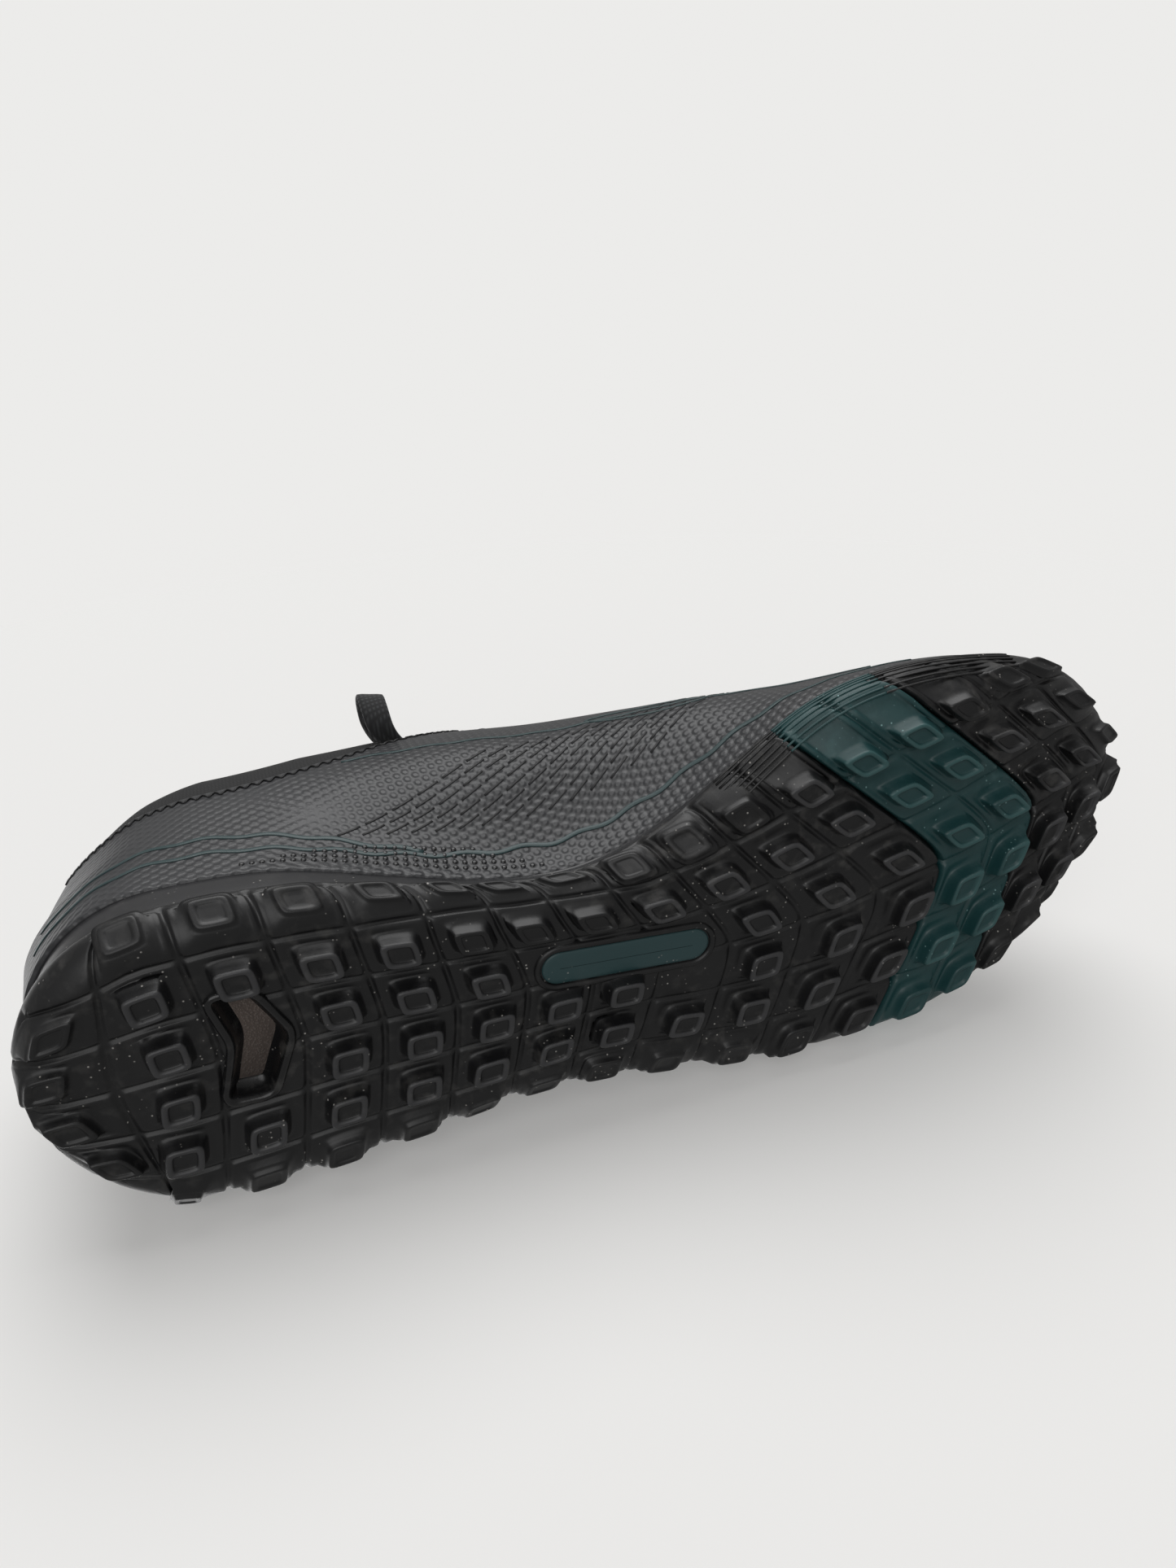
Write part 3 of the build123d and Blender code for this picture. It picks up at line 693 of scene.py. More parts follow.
def edge_kinds(row, column):
    """What lies past each side of a tile: left, right (medial, lateral), heel and toe side."""
    channels = (REAR_ROWS, REAR_ROWS + BAND_ROWS)
    left = "wall" if column == 0 else "groove"
    right = "wall" if column == COLUMNS - 1 else "groove"
    back = "wall" if row == 0 else "channel" if row in channels else "groove"
    front = "wall" if row == len(ROWS) - 1 else "channel" if row + 1 in channels else "groove"
    return left, right, back, front


def near_edge(place):
    """1 along a tile's edge, at place 1, falling to 0 at place 0.78."""
    return smooth((place - 0.78) / 0.2)


def tile_height(share, kinds):
    """Height of the tile's surface along a ring a share of the cell away from its sides."""
    a, b = SQUARE[:, 0], SQUARE[:, 1]
    closeness = [near_edge(place) for place in (-a, a, -b, b)]
    total, least = np.ones(len(SQUARE)), np.ones(len(SQUARE))
    for kind, near in zip(kinds, closeness):
        if kind == "wall":
            continue
        profile = np.interp(share, *np.array(GROOVE if kind == "groove" else CHANNEL, float).T)
        total += near * (profile - 1)
        least = np.minimum(least, 1 + near * (profile - 1))
    return TILE * np.maximum(total, least)


def stud_shift(row, column):
    """Share of a cell by which the studs of the inner column stand further in, from the waist forward."""
    if column > 0:
        return 0.0
    return 0.28 if row >= 11 else 0.14 if row >= 8 else 0.0


def tile(shape, row, column):
    """One tile of the tread, with its stud if it has one."""
    kinds = edge_kinds(row, column)
    rings = SURFACE_RINGS if (row, column) not in NO_STUD else SURFACE_RINGS + FLAT_RINGS
    layers = []
    for half, power in rings:
        local = ring(half, power)
        plan = lattice(row + local[:, 1], column + local[:, 0])
        layers.append(on_sole(plan, tile_height(0.5 - half, kinds))[0])
    if (row, column) not in NO_STUD:
        cross = np.array([(0, 0), (-0.1, 0), (0.1, 0), (0, -0.1), (0, 0.1)]) + (stud_shift(row, column), 0)
        plan = lattice(row + cross[:, 1], column + cross[:, 0])
        places, facing = on_sole(plan)
        normal = facing[0]
        loss = TOE_STUD_LOSS if row >= TOE_STUD_ROW else EDGE_STUD_LOSS
        tall = 1 - loss * smooth((rim.nearest(plan[:1])[1][0] + 5) / 9)
        for half, power, height in STUD_RINGS:
            height = TILE + (height - TILE) * tall
            local = ring(half, power)
            step = 0
            for k, axis in ((1, 0), (3, 1)):
                way = (places[k + 1] - places[k]) / 0.2
                way -= way.dot(normal) * normal
                flat = np.linalg.norm(plan[k + 1] - plan[k]) / 0.2
                length = np.linalg.norm(way)
                size = min(math.sqrt(length * flat), LARGEST_PITCH)
                step = step + local[:, axis:axis + 1] * way / length * size
            layers.append(places[0] + step + normal * height)
    points = np.concatenate(layers)
    count = len(SQUARE)
    faces = grid_faces(len(layers), count, closed=True)
    faces.append(tuple((len(layers) - 1) * count + k for k in range(count)))
    shape.add(points, faces)


# Distances under the wall's top, closest together at its edge
WALL_STEPS = np.concatenate([np.linspace(8.2, 0.9, 24), [0.45, 0.0, 0.0]])
GRIP_PITCH, GRIP_LINES = 1.2, 7
WALL_SINK, LIP_ROUND, LIP_RETURN = 0.7, 0.4, 3.0  # the wall under the tiles' face, and its top edge


def border(kind, first, last):
    """Places along one border of the tiles, as rows and columns, with the tiles' heights there."""
    tiles = np.arange(first, last)
    along = np.concatenate([(tiles[:, None] + SIDE_STEPS / 2).ravel(), [last - 0.5]])
    local = np.append(np.tile(SIDE_STEPS, len(tiles)), 1)
    low, high = near_edge(-local), near_edge(local)
    which = np.append(np.repeat(tiles, len(SIDE_STEPS)), last - 1)
    depth, channel = [], []
    for k, near_low, near_high in zip(which, low, high):
        if kind in ("heel", "toe"):
            sides = ((k > 0, GROOVE_LOW, near_low), (k < COLUMNS - 1, GROOVE_LOW, near_high))
        else:
            back = CHANNEL_LOW if k in (REAR_ROWS, REAR_ROWS + BAND_ROWS) else GROOVE_LOW
            front = CHANNEL_LOW if k + 1 in (REAR_ROWS, REAR_ROWS + BAND_ROWS) else GROOVE_LOW
            sides = ((k > 0, back, near_low), (k < len(ROWS) - 1, front, near_high))
        least = min([1 + near * (value - 1) for real, value, near in sides if real] + [1])
        depth.append(TILE * least)
        channel.append(any(real and value < 0 and near > 0 for real, value, near in sides))
    fixed = {"heel": -0.5, "toe": len(ROWS) - 0.5, "medial": -0.5, "lateral": COLUMNS - 0.5}[kind]
    fixed = np.full(len(along), fixed)
    rows, columns = (fixed, along) if kind in ("heel", "toe") else (along, fixed)
    return rows, columns, np.array(depth), np.array(channel)


def wall(shape, kind, first, last, grip=None):
    """Side wall from the border of the tiles up to the top of the rubber, with grip lines where grip is 1."""
    rows, columns, height, channel = border(kind, first, last)
    plan = lattice(rows, columns)
    s, raw = rim.nearest(plan)
    start = soften(raw, s)
    top = rim.top(s)
    reach = np.minimum(1, 0.93 * (top - start) / WALL_STEPS[0])
    rings = [on_sole(plan, height)[0]]
    mask = np.zeros(len(s)) if grip is None else grip(rim.at(s)[0][:, 0])
    steps = [(start + (top - WALL_STEPS[0] * reach - start) * t, 99.0) for t in np.linspace(0, 1, 8)[1:-1]]
    steps += [(top - left * reach, left * reach) for left in WALL_STEPS]
    for k, (out, left) in enumerate(steps):
        share = (out - start) / (top - start)
        kept = np.where(channel, 1, 1 - smooth(share * 1.5))
        lift = TILE + (height - TILE) * kept - WALL_SINK * smooth(share)
        lift = lift - LIP_ROUND * (1 - smooth(left / 0.9)) - (LIP_RETURN if k == len(steps) - 1 else 0)
        point, normal = rim.at(s)
        rings.append(wrapped(point + normal * out[:, None], s, out, lift)[0])
    shape.grid(np.stack(rings))
    for k in range(GRIP_LINES if mask.max() > 0.3 else 0):
        out = top - 1.3 - GRIP_PITCH * k
        share = np.clip((out - start) / (top - start), 0, 1)
        point, normal = rim.at(s)
        line, facing = wrapped(point + normal * out[:, None], s, out, TILE - WALL_SINK * smooth(share) + 0.02)
        line, facing = line[mask > 0.3], facing[mask > 0.3]
        sweep(shape, line, np.cross(facing, tangents(line)), flat_section(0.55, 0.5))


def cut_window(piece, polygon, deep):
    """Cuts a hole with straight sides through the underside along a plan polygon."""
    work = bmesh.new()
    work.from_mesh(piece.data)
    corners = [Vector((x * MM + MIDDLE[0], y * MM + MIDDLE[1], 0)) for x, y in polygon]
    middle = sum(corners, Vector()) / len(corners)
    for k, corner in enumerate(corners):
        way = corners[(k + 1) % len(corners)] - corner
        near = [f for f in work.faces if (f.calc_center_median().xy - middle.xy).length < WINDOW_REACH * MM
                and f.calc_center_median().z < deep * MM]
        parts = near + list({e for f in near for e in f.edges}) + list({v for f in near for v in f.verts})
        bmesh.ops.bisect_plane(work, geom=parts, plane_co=corner, plane_no=Vector((way.y, -way.x, 0)))
    inside = [f for f in work.faces if f.calc_center_median().z < deep * MM
              and within(f.calc_center_median(), corners)]
    bmesh.ops.delete(work, geom=inside, context="FACES")
    work.to_mesh(piece.data)
    work.free()


def within(point, corners):
    """Whether the point lies inside the plan polygon."""
    found = False
    for k, a in enumerate(corners):
        b = corners[k - 1]
        if (a.y > point.y) != (b.y > point.y):
            if point.x < (b.x - a.x) * (point.y - a.y) / (b.y - a.y) + a.x:
                found = not found
    return found


def grip_rear(x):
    """Where the inner wall of the rear piece has grip lines, from 0 to 1."""
    return smooth((x - 22) / 4) * smooth((44 - x) / 4)


def grip_band(x):
    """The same for the band."""
    return smooth((x - 30) / 4)


def grip_toe(x):
    """The same for the toe piece."""
    return smooth((x - 50) / 6) * smooth((112 - x) / 10)


def outsole_piece(name, material, first, last, grip):
    """Tiles and walls from row first to before row last, with a mask of the stud tops for their painted
    highlight as an attribute.
    """
    shape = Shape()
    for row in range(first, last):
        for column in range(COLUMNS):
            tile(shape, row, column)
    wall(shape, "medial", first, last, grip)
    wall(shape, "lateral", first, last)
    if first == 0:
        wall(shape, "heel", 0, COLUMNS)
    if last == len(ROWS):
        wall(shape, "toe", 0, COLUMNS)
    piece = shape.piece(name, material, merge=0.004)
    places = (np.array([v.co[:] for v in piece.data.vertices]) - MIDDLE) / MM
    above = places[:, 2] - spring(places[:, 0])
    # Mask of the parts nearest the ground, the stud tops, that get the painted highlight
    layer = piece.data.attributes.new("scuffs_and_lit_tops", "FLOAT", "POINT")
    layer.data.foreach_set("value", smooth((0.72 - above) / 0.5).astype(np.float32))
    return piece


def bends(piece, *nodes):
    """Bakes the piece's placement into its mesh and hides the CAD nodes it stands for."""
    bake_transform(piece)
    if nodes:
        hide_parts(*nodes)
    return piece


def rounded_polygon(corners, radius, inset=0.0):
    """Closed plan line with rounded corners, moved inwards by inset."""
    made = []
    corners = np.array(corners, float)
    for k, b in enumerate(corners):
        a, c = corners[k - 1], corners[(k + 1) % len(corners)]
        before, after = (a - b) / np.linalg.norm(a - b), (c - b) / np.linalg.norm(c - b)
        for t in np.linspace(0, 1, 7):
            made.append(b + before * radius * (1 - t) ** 2 + after * radius * t**2)
    loop = np.array(made)
    spread = np.linalg.norm(np.diff(loop, axis=0, append=loop[:1]), axis=1)
    loop = loop[spread > 1e-6]
    return loop - outward(loop) * inset


def make_outsole():
    """The three rubber pieces of the sole, heel to toe."""
    rear = outsole_piece("tread_rear", black_rubber, 0, REAR_ROWS, grip_rear)
    cut_window(rear, WINDOW, STUD_HEIGHT + 3)
    bends(rear, "outsole_rear", "outsole_rear_crest")
    band = outsole_piece("tread_band", teal_rubber, REAR_ROWS, REAR_ROWS + BAND_ROWS, grip_band)
    bends(band, "outsole_band", "outsole_band_arms")
    toe = outsole_piece("tread_toe", black_rubber, REAR_ROWS + BAND_ROWS, len(ROWS), grip_toe)
    bends(toe, "outsole_toe")


def level(loop, z):
    """Plan loop at one height."""
    return np.concatenate([loop, np.full((len(loop), 1), float(z))], 1)


def make_window():
    """Raised rim, steep frame walls and the foam seen through the heel window."""
    low = STUD_HEIGHT - TILE
    rings = [(-1.6, low + 0.4), (-1.5, low - 0.5), (-1.0, low - 1.05), (-0.3, low - 1.05), (0.3, low - 0.6),
             (0.7, low + 0.8), (1.6, low + 3.4), (2.3, low + 3.8), (2.6, low + 4.4)]
    lip = Shape()
    lip.grid(np.stack([level(rounded_polygon(WINDOW, 3.0, inset), z) for inset, z in rings]), closed=True)
    lip = lip.piece("window_rim", window_plastic)
    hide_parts("heel_window_frame")
    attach(lip, "shoe")
    pad = Shape()
    edge = rounded_polygon(WINDOW, 3.0, 2.0)
    pad.grid(np.stack([level(edge, low + 6.0), level(edge, low + 4.2)]), closed=True)
    pad.faces.append(tuple(len(edge) + k for k in range(len(edge))))
    pad = pad.piece("window_pad", foam)
    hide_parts("heel_cushion")
    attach(pad, "shoe")


def make_badge():
    """Plain capsule badge blank with a rounded lip, in the arch."""
    turn = math.radians(INLAY_TILT)
    ways = np.array([[math.cos(turn), math.sin(turn)], [-math.sin(turn), math.cos(turn)]])
    angle = np.linspace(0, 2 * np.pi, 72, endpoint=False)
    straight = (INLAY_LENGTH - INLAY_WIDTH) / 2

    def capsule(radius):
        along = np.sign(np.cos(angle)) * straight + radius * np.cos(angle)
        flat = np.stack([along, radius * np.sin(angle)], 1)
        return flat @ ways + np.array(INLAY_CENTRE)

    half, low = INLAY_WIDTH / 2, STUD_HEIGHT - TILE
    lip = Shape()
    rings = [(2.1, 0.5), (1.9, -0.3), (1.4, -0.75), (0.8, -0.75), (0.35, -0.2), (0.2, 0.4)]
    lip.grid(np.stack([level(capsule(half + out), low + z) for out, z in rings]), closed=True)
    lip = lip.piece("badge_lip", black_rubber)
    plate = Shape()
    rings = [(0.1, 0.5), (0.05, -0.1), (-0.35, -0.4), (-1.2, -0.45), (-2.6, -0.45), (-half + 0.05, -0.45)]
    plate.grid(np.stack([level(capsule(half + out), low + z) for out, z in rings]), closed=True)
    plate = plate.piece("badge_blank", badge)
    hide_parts("arch_inlay")
    for piece in (lip, plate):
        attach(piece, "shoe")


# ------------------------------------------------------------------ foxing band and upper


def make_foxing():
    """Smooth band between the rubber wall and the upper, with a raised line at both edges."""
    loop = outline(1.6, 520)
    normal = outward(loop)
    x = loop[:, 0]
    low = follow(WALL_TOP, x) + spring(x) - 2.0
    high = follow(BITE, x) + spring(x) + 1.6
    rings = [level(loop - normal * 4, 0)]
    rings[0][:, 2] = low
    for t in np.linspace(0, 1, 41):
        z = low + (high - low) * t
        above = z - low
        below = high - z
        line = np.exp(-((above - 3.1) / 0.45) ** 2) + np.exp(-((below - 1.0) / 0.45) ** 2)
        out = 0.9 * np.sin(np.pi * t) ** 0.6 + 0.35 * line - 0.8 * t
        rings.append(np.column_stack([loop + normal * out[:, None], z]))
    rings.append(np.column_stack([loop - normal * 3.5, high + 0.3]))
    shape = Shape()
    shape.grid(np.stack(rings), closed=True)
    piece = bends(shape.piece("foxing_band", film), "midsole_rear", "midsole_front")


def upper_stations():
    """Places along the shoe, closest together at the heel, at the front of the throat and at the toe."""
    ease = np.linspace(0, 1, 28) ** 2
    return np.concatenate([UPPER_HEEL_X + 30 * ease, np.linspace(-113.5, 24, 96), np.linspace(25, 34, 22),
                           np.linspace(35.3, UPPER_TOE_X - 31, 52), UPPER_TOE_X - 30 * ease[::-1]])


def upper_grid(side, inset=0.0, rise=0.0, stations=None, rows=64, low=0.0):
    """Points of one side from its foot up to its edge; rise moves that edge up."""
    x = upper_stations() if stations is None else stations
    t = np.linspace(0, 1, rows)[:, None]
    top = edge_share(x, side) + rise / np.maximum(girth_height(x), 4)
    u = low + (top - low) * (1 - (1 - t) ** 2)
    return on_upper(x[None], np.clip(u, 0, 1), side, inset)


def cloth_places(points):
    """Distance along and up the cloth of a grid of points, for its relief."""
    rise = np.cumsum(np.linalg.norm(np.diff(points, axis=0, prepend=points[:1]), axis=-1), axis=0)
    return np.stack([points[..., 0], rise, points[..., 1]], -1)


def make_upper():
    """Coated knit shell of the upper, from the heel to the toe."""
    shape = Shape()
    places = []
    for side in (-1, 1):
        points = upper_grid(side)
        places.append(cloth_places(points).reshape(-1, 3))
        shape.grid(points)
    piece = shape.piece("upper_shell", upper_knit, merge=0.02)
    shell_places(piece, np.concatenate(shape.points), np.concatenate(places))
    thicken(piece, UPPER_THICK)
    bends(piece, "heel_wrap", "medial_quarter", "lateral_quarter", "vamp_flex_panel", "vamp_toe")


def shell_places(piece, points, places):
    """Gives each vertex the cloth place of the grid point it came from."""
    tree = KDTree(len(points))
    for k, point in enumerate(points * MM + MIDDLE):
        tree.insert(point, k)
    tree.balance()
    index = [tree.find(v.co)[1] for v in piece.data.vertices]
    layer = piece.data.attributes.new("cloth", "FLOAT_VECTOR", "POINT")
    layer.data.foreach_set("vector", (places[index] * MM).astype(np.float32).ravel())


WAVE_PITCH = 14.0
PRINT_LINES = [
    [(-138, 9), (-110, 11), (-80, 9), (-55, 8), (-25, 9), (5, 8.5), (40, 8), (80, 7)],
    [(-136, 17), (-110, 18), (-85, 15), (-64, 11.5), (-48, 9)],
    [(-60, 44), (-30, 43), (0, 39), (25, 33), (50, 24), (75, 17)],
]


def on_side(x, height, side, lift=0.0):
    """Points and normals of the upper at a height above its foot."""
    x, height = np.asarray(x, float), np.asarray(height, float)
    u = height / np.maximum(girth_height(x), 1)
    point = on_upper(x, u, side)
    along = on_upper(x + 0.3, u, side) - on_upper(x - 0.3, u, side)
    up = on_upper(x, u + 0.004, side) - on_upper(x, u - 0.004, side)
    normal = np.cross(along, up)
    normal /= np.linalg.norm(normal, axis=-1, keepdims=True)
    normal *= np.where(normal[..., 1] * side < 0, -1, 1)[..., None]
    return point + normal * lift, normal


def ribbon_on_side(shape, route, width, thick, side, step=1.2, wave=0.0):
    """Thin raised line along (x, height) places of the upper."""
    line = through(np.array(route, float), step)
    line[:, 1] += wave * np.sin(2 * np.pi * line[:, 0] / WAVE_PITCH)
    point, normal = on_side(line[:, 0], line[:, 1], side, lift=thick * 0.2)
    across = np.cross(normal, tangents(point))
    sweep(shape, point, across, flat_section(width, thick))


def make_prints():
    """Wavy lines, dashed speed lines and dots on both sides of the upper."""
    lines, dashes, dots = Shape(), Shape(), Shape()
    for side in (-1, 1):
        for route in PRINT_LINES:
            ribbon_on_side(lines, route, 1.2, 0.4, side, wave=0.5)
        angle = np.linspace(0, 2 * np.pi, 25)
        inset_ring = np.stack([18 + 15 * np.cos(angle), 35 - 5 * np.cos(angle) + 4 * np.sin(angle)], 1)
        ribbon_on_side(lines, inset_ring, 1.0, 0.4, side)
        for k in range(15):
            x0, h0 = -66 + 5.6 * k, 13.5 + 0.3 * k
            for j in range(6):
                a = (x0 + 7 * j, h0 + 3.6 * j)
                b = (x0 + 7 * j + 5.6, h0 + 3.6 * j + 2.9)
                ribbon_on_side(dashes, [a, b], 0.55, 0.3, side, step=1.5)
        for row in range(4):
            for k in range(31 - 6 * row):
                x = -88 + 8.0 * row + 2.2 * k + 1.1 * (row % 2)
                point, normal = on_side(x, 3.4 + 1.8 * row + 1.2 * math.cos((x + 54) / 24), side)
                dome(dots, point, normal, 0.72, 0.38)
    for shape, name, material in ((lines, "print_lines", print_film), (dashes, "speed_lines", thread),
                                  (dots, "gloss_dots", gloss_film)):
        piece = shape.piece(name, material)
        bends(piece)


def dome(shape, point, normal, radius, height):
    """Small raised dot."""
    across = np.cross(normal, (1, 0, 0.2))
    across /= np.linalg.norm(across)
    other = np.cross(normal, across)
    angle = np.linspace(0, 2 * np.pi, 8, endpoint=False)
    rings = [(1.0, -0.1), (0.85, 0.6), (0.45, 0.95)]
    points = [point + (across * np.cos(a) + other * np.sin(a)) * radius * r + normal * height * h
              for r, h in rings for a in angle] + [point + normal * height]
    faces = grid_faces(3, 8, closed=True) + [(16 + k, 16 + (k + 1) % 8, 24) for k in range(8)]
    shape.add(points, faces)


def make_lining():
    """Knit lining inside the collar, standing above the upper's edge round the heel."""
    ease = np.linspace(0, 1, 24) ** 2
    x = np.concatenate([UPPER_HEEL_X + 30 * ease, np.linspace(-113, 32, 90)])
    rise = np.interp(x, [-145, -118, -95, -70, -48, -25, 0], [8, 12, 16, 15, 10, 2, 0])
    shape = Shape()
    for side in (-1, 1):
        below = upper_grid(side, LINING_INSET, -1.0, x, 48, 0.12)
        steps = np.linspace(0, 1, 9)[1:, None]
        above = np.stack(np.broadcast_arrays(0.0, -side * 1.6 * steps**2, (rise + 1) * steps), -1)
        shape.grid(np.concatenate([below, below[-1] + above]))
    piece = shape.piece("collar_lining_knit", lining_knit, merge=0.02)
    thicken(piece, LINING_THICK)
    bends(piece, "collar_lining")


def make_footbed():
    """Soft footbed with a low raised edge, inside the lining. Rings are (share of the half width, height)."""
    loop = outline(FOOTBED_INSET)
    x = loop[:, 0]
    sides = [loop[loop[:, 1] < 0], loop[loop[:, 1] >= 0]]
    sides = [side[np.argsort(side[:, 0])] for side in sides]
    middle = sum(np.interp(x, side[:, 0], side[:, 1]) for side in sides) / 2
    shape = Shape()
    rings = [(0.985, 1.35), (1.0, 2.2), (1.0, 5.4), (0.985, 6.0), (0.95, 6.1), (0.9, 5.7), (0.8, 5.3),
             (0.6, 5.1), (0.35, 5.1), (0.1, 5.1), (0.0, 5.1)]
    rows = [[x, middle + (loop[:, 1] - middle) * share, foot_line(x) + up] for share, up in rings]
    shape.grid(np.stack([np.stack(row, -1) for row in rows]), closed=True)
    piece = bends(shape.piece("footbed", foot_cloth, merge=0.02), "sockliner_rear", "sockliner_front")


def make_stiffeners():
    """Heel counter and toe puff between the upper and its lining."""
    ease = np.linspace(0, 1, 24) ** 2
    counter_x = UPPER_HEEL_X + 0.4 + 44 * ease
    puff_x = UPPER_TOE_X - 1.5 - 26 * ease[::-1]
    for name, node, x, low, high in (("counter_shell", "heel_counter", counter_x, 0.06, 0.5),
                                     ("puff_shell", "toe_puff", puff_x, 0.1, 0.95)):
        shape = Shape()
        for side in (-1, 1):
            u = np.linspace(low, high, 30)[:, None]
            shape.grid(on_upper(x[None], np.minimum(u, edge_share(x, side) - 0.03), side, UNDER_UPPER))
        piece = shape.piece(name, stiffener, merge=0.02)
        bends(piece, node)


def make_eyestays():
    """Reinforcements under the upper along both edges of the lacing gap."""
    x = np.linspace(-19, 31, 60)
    for side, name in ((-1, "medial"), (1, "lateral")):
        top = edge_share(x, side) - 0.015
        u = top - np.linspace(0.16, 0, 12)[:, None]
        shape = Shape()
        shape.grid(on_upper(x[None], u, side, UNDER_UPPER))
        piece = bends(shape.piece("eyestay_strip_" + name, stiffener), "eyestay_" + name)


def make_stitching():
    """Zig-zag stitches along the collar's edge."""
    shape = Shape()
    for side in (-1, 1):
        xs = np.arange(-138, -16, 1.5)
        top = edge_share(xs, side) * girth_height(xs)
        zig = np.where(np.arange(len(xs)) % 2, 1.2, 3.6)
        line, normal = on_side(xs, top - zig, side, 0.15)
        for a, b, n in zip(line[:-1], line[1:], normal[:-1]):
            run = np.stack([a, (a + b) / 2 + n * 0.15, b])
            sweep(shape, run, np.cross(n, tangents(run)), flat_section(0.55, 0.45))
    piece = shape.piece("collar_stitches", thread)
    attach(piece, "shoe")


TONGUE_FRONT, TONGUE_TIP = 36.0, -57.0


def make_tongue():
    """Padded tongue under the laces."""
    x = np.linspace(TONGUE_FRONT, TONGUE_TIP, 70)[:, None]
    half = np.interp(x, [TONGUE_TIP, -51, -40, -22, TONGUE_FRONT], [8, 12.5, 15.5, 16, 10])
    t = np.linspace(-1, 1, 25)
    y = half * t
    width = np.interp(x, [TONGUE_TIP, TONGUE_FRONT], [34, 42])
    crown = np.interp(x, [TONGUE_TIP, -40, TONGUE_FRONT], [20, 24, 22])
    middle = follow(RIDGE, x) + spring(x) - 1.5 - crown * (y / width) ** 2 - 1.7
    edge = 1.6 * (1 - np.abs(t) ** 8)
    upper, lower = [np.stack(np.broadcast_arrays(x, y, middle + up), -1) for up in (edge, -edge)]
    shape = Shape()
    shape.tube(np.concatenate([upper, lower[:, ::-1]], 1))
    piece = shape.piece("tongue_pad", lining_knit)
    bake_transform(piece)
    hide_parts("tongue_body", "tongue_top")


# ------------------------------------------------------------------ laces

LACE_WIDE, LACE_THICK = 7.0, 1.4
KNOT = (-12.0, 0, 107.8)
LOOP_MEDIAL = [(-15.5, -4.6, 109.5), (-17, -12, 108.5), (-21, -17, 104), (-27, -18.5, 99), (-35, -18.5, 97),
               (-43, -21.5, 96), (-47.5, -29, 95), (-48, -38, 93), (-47.5, -43, 87.5), (-47.5, -40, 81.5),
               (-47, -35, 79.5), (-44, -29, 81.5), (-37, -22, 87), (-27, -19, 94), (-20, -17, 100),
               (-16.5, -11, 104.5), (-15.5, -4.6, 106.1)]
LOOP_LATERAL = [(-15.5, 4.6, 109.5), (-16.5, 13, 109.5), (-21, 21, 105.5), (-29, 28, 99), (-35, 34, 91.5),
                (-38, 39, 83), (-38.5, 42, 75), (-36.5, 42.5, 69.5), (-32.5, 41, 69.5), (-28, 37.5, 77),
                (-23.5, 31.5, 87), (-18.5, 22, 97.5), (-16, 12.5, 104.5), (-15.5, 4.6, 106.1)]
END_MEDIAL = [(-8.5, -4.6, 107.8), (-7, -11, 104), (2, -14.5, 95), (13, -17, 87), (24, -18, 79)]
END_LATERAL = [(-8.5, 4.6, 107.8), (-7.5, 14, 104.5), (-1, 22.5, 96), (7, 29, 85.5), (14, 33.5, 75.5)]


# Directions of the lace's width: a loop turns from the first to the second away from the knot
ACROSS_AT_KNOT, ACROSS_AT_LOOP_END = (0.24, 0.48, 0.84), (1.0, 0.1, -0.35)


def cord_line(name, route):
    """Points read along the cord's curve, in metres, for a route in millimetres."""
    places = [tuple(np.array(p, float) * MM + MIDDLE) for p in route]
    data = bpy.data.curves.new(name + "_line", "CURVE")
    data.dimensions = "3D"
    data.resolution_u = 16
    spline = data.splines.new("NURBS")
    spline.points.add(len(places) - 1)
    for point, place in zip(spline.points, places):
        point.co = (*place, 1)
    spline.order_u = 3
    spline.use_endpoint_u = True
    curve = bpy.data.objects.new(name + "_line", data)
    bpy.context.scene.collection.objects.link(curve)
    bpy.context.view_layer.update()
    mesh = bpy.data.meshes.new_from_object(curve.evaluated_get(bpy.context.evaluated_depsgraph_get()))
    read = np.array([v.co[:] for v in mesh.vertices])
    bpy.data.objects.remove(curve)
    bpy.data.meshes.remove(mesh)
    return read


def make_cord(name, route, node, far_end):
    """Flat woven lace along a route."""
    read = cord_line(name, route)
    line = (read - MIDDLE) / MM
    reach = np.linalg.norm(line - line[0], axis=1)
    turn = smooth((reach / reach.max() - 0.25) / 0.5)[:, None] if far_end == "object" else 0
    across = np.array(ACROSS_AT_KNOT) * (1 - turn) + np.array(ACROSS_AT_LOOP_END) * turn
    shape = Shape()
    sweep(shape, line, np.broadcast_to(across, line.shape).copy(), flat_section(LACE_WIDE, LACE_THICK))
    piece = shape.piece(name, lace_weave, merge=0)
    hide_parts(node)
    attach(piece, "shoe")


def make_aglet(name, route, node):
    """Moulded lace tip with a rounded nose and a crimp line."""
    end, before = np.array(route[-1], float), np.array(route[-2], float)
    way = (end - before) / np.linalg.norm(end - before)
    steps = [(-0.6, 1.2), (-0.4, 1.75), (0.6, 1.85), (1.0, 1.6), (1.4, 1.85), (9, 1.75), (12.5, 1.6),
             (13.6, 1.2), (14, 0.4)]
    across = np.cross(way, (0, 0, 1))
    across /= np.linalg.norm(across)
    other = np.cross(way, across)
    angle = np.linspace(0, 2 * np.pi, 18, endpoint=False)[:, None]
    circle = across * np.cos(angle) + other * np.sin(angle)
    shape = Shape()
    shape.tube(np.stack([end + way * at + circle * radius for at, radius in steps]))
    piece = shape.piece(name, tip_plastic)
    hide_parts(node)
    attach(piece, "shoe")
    return piece


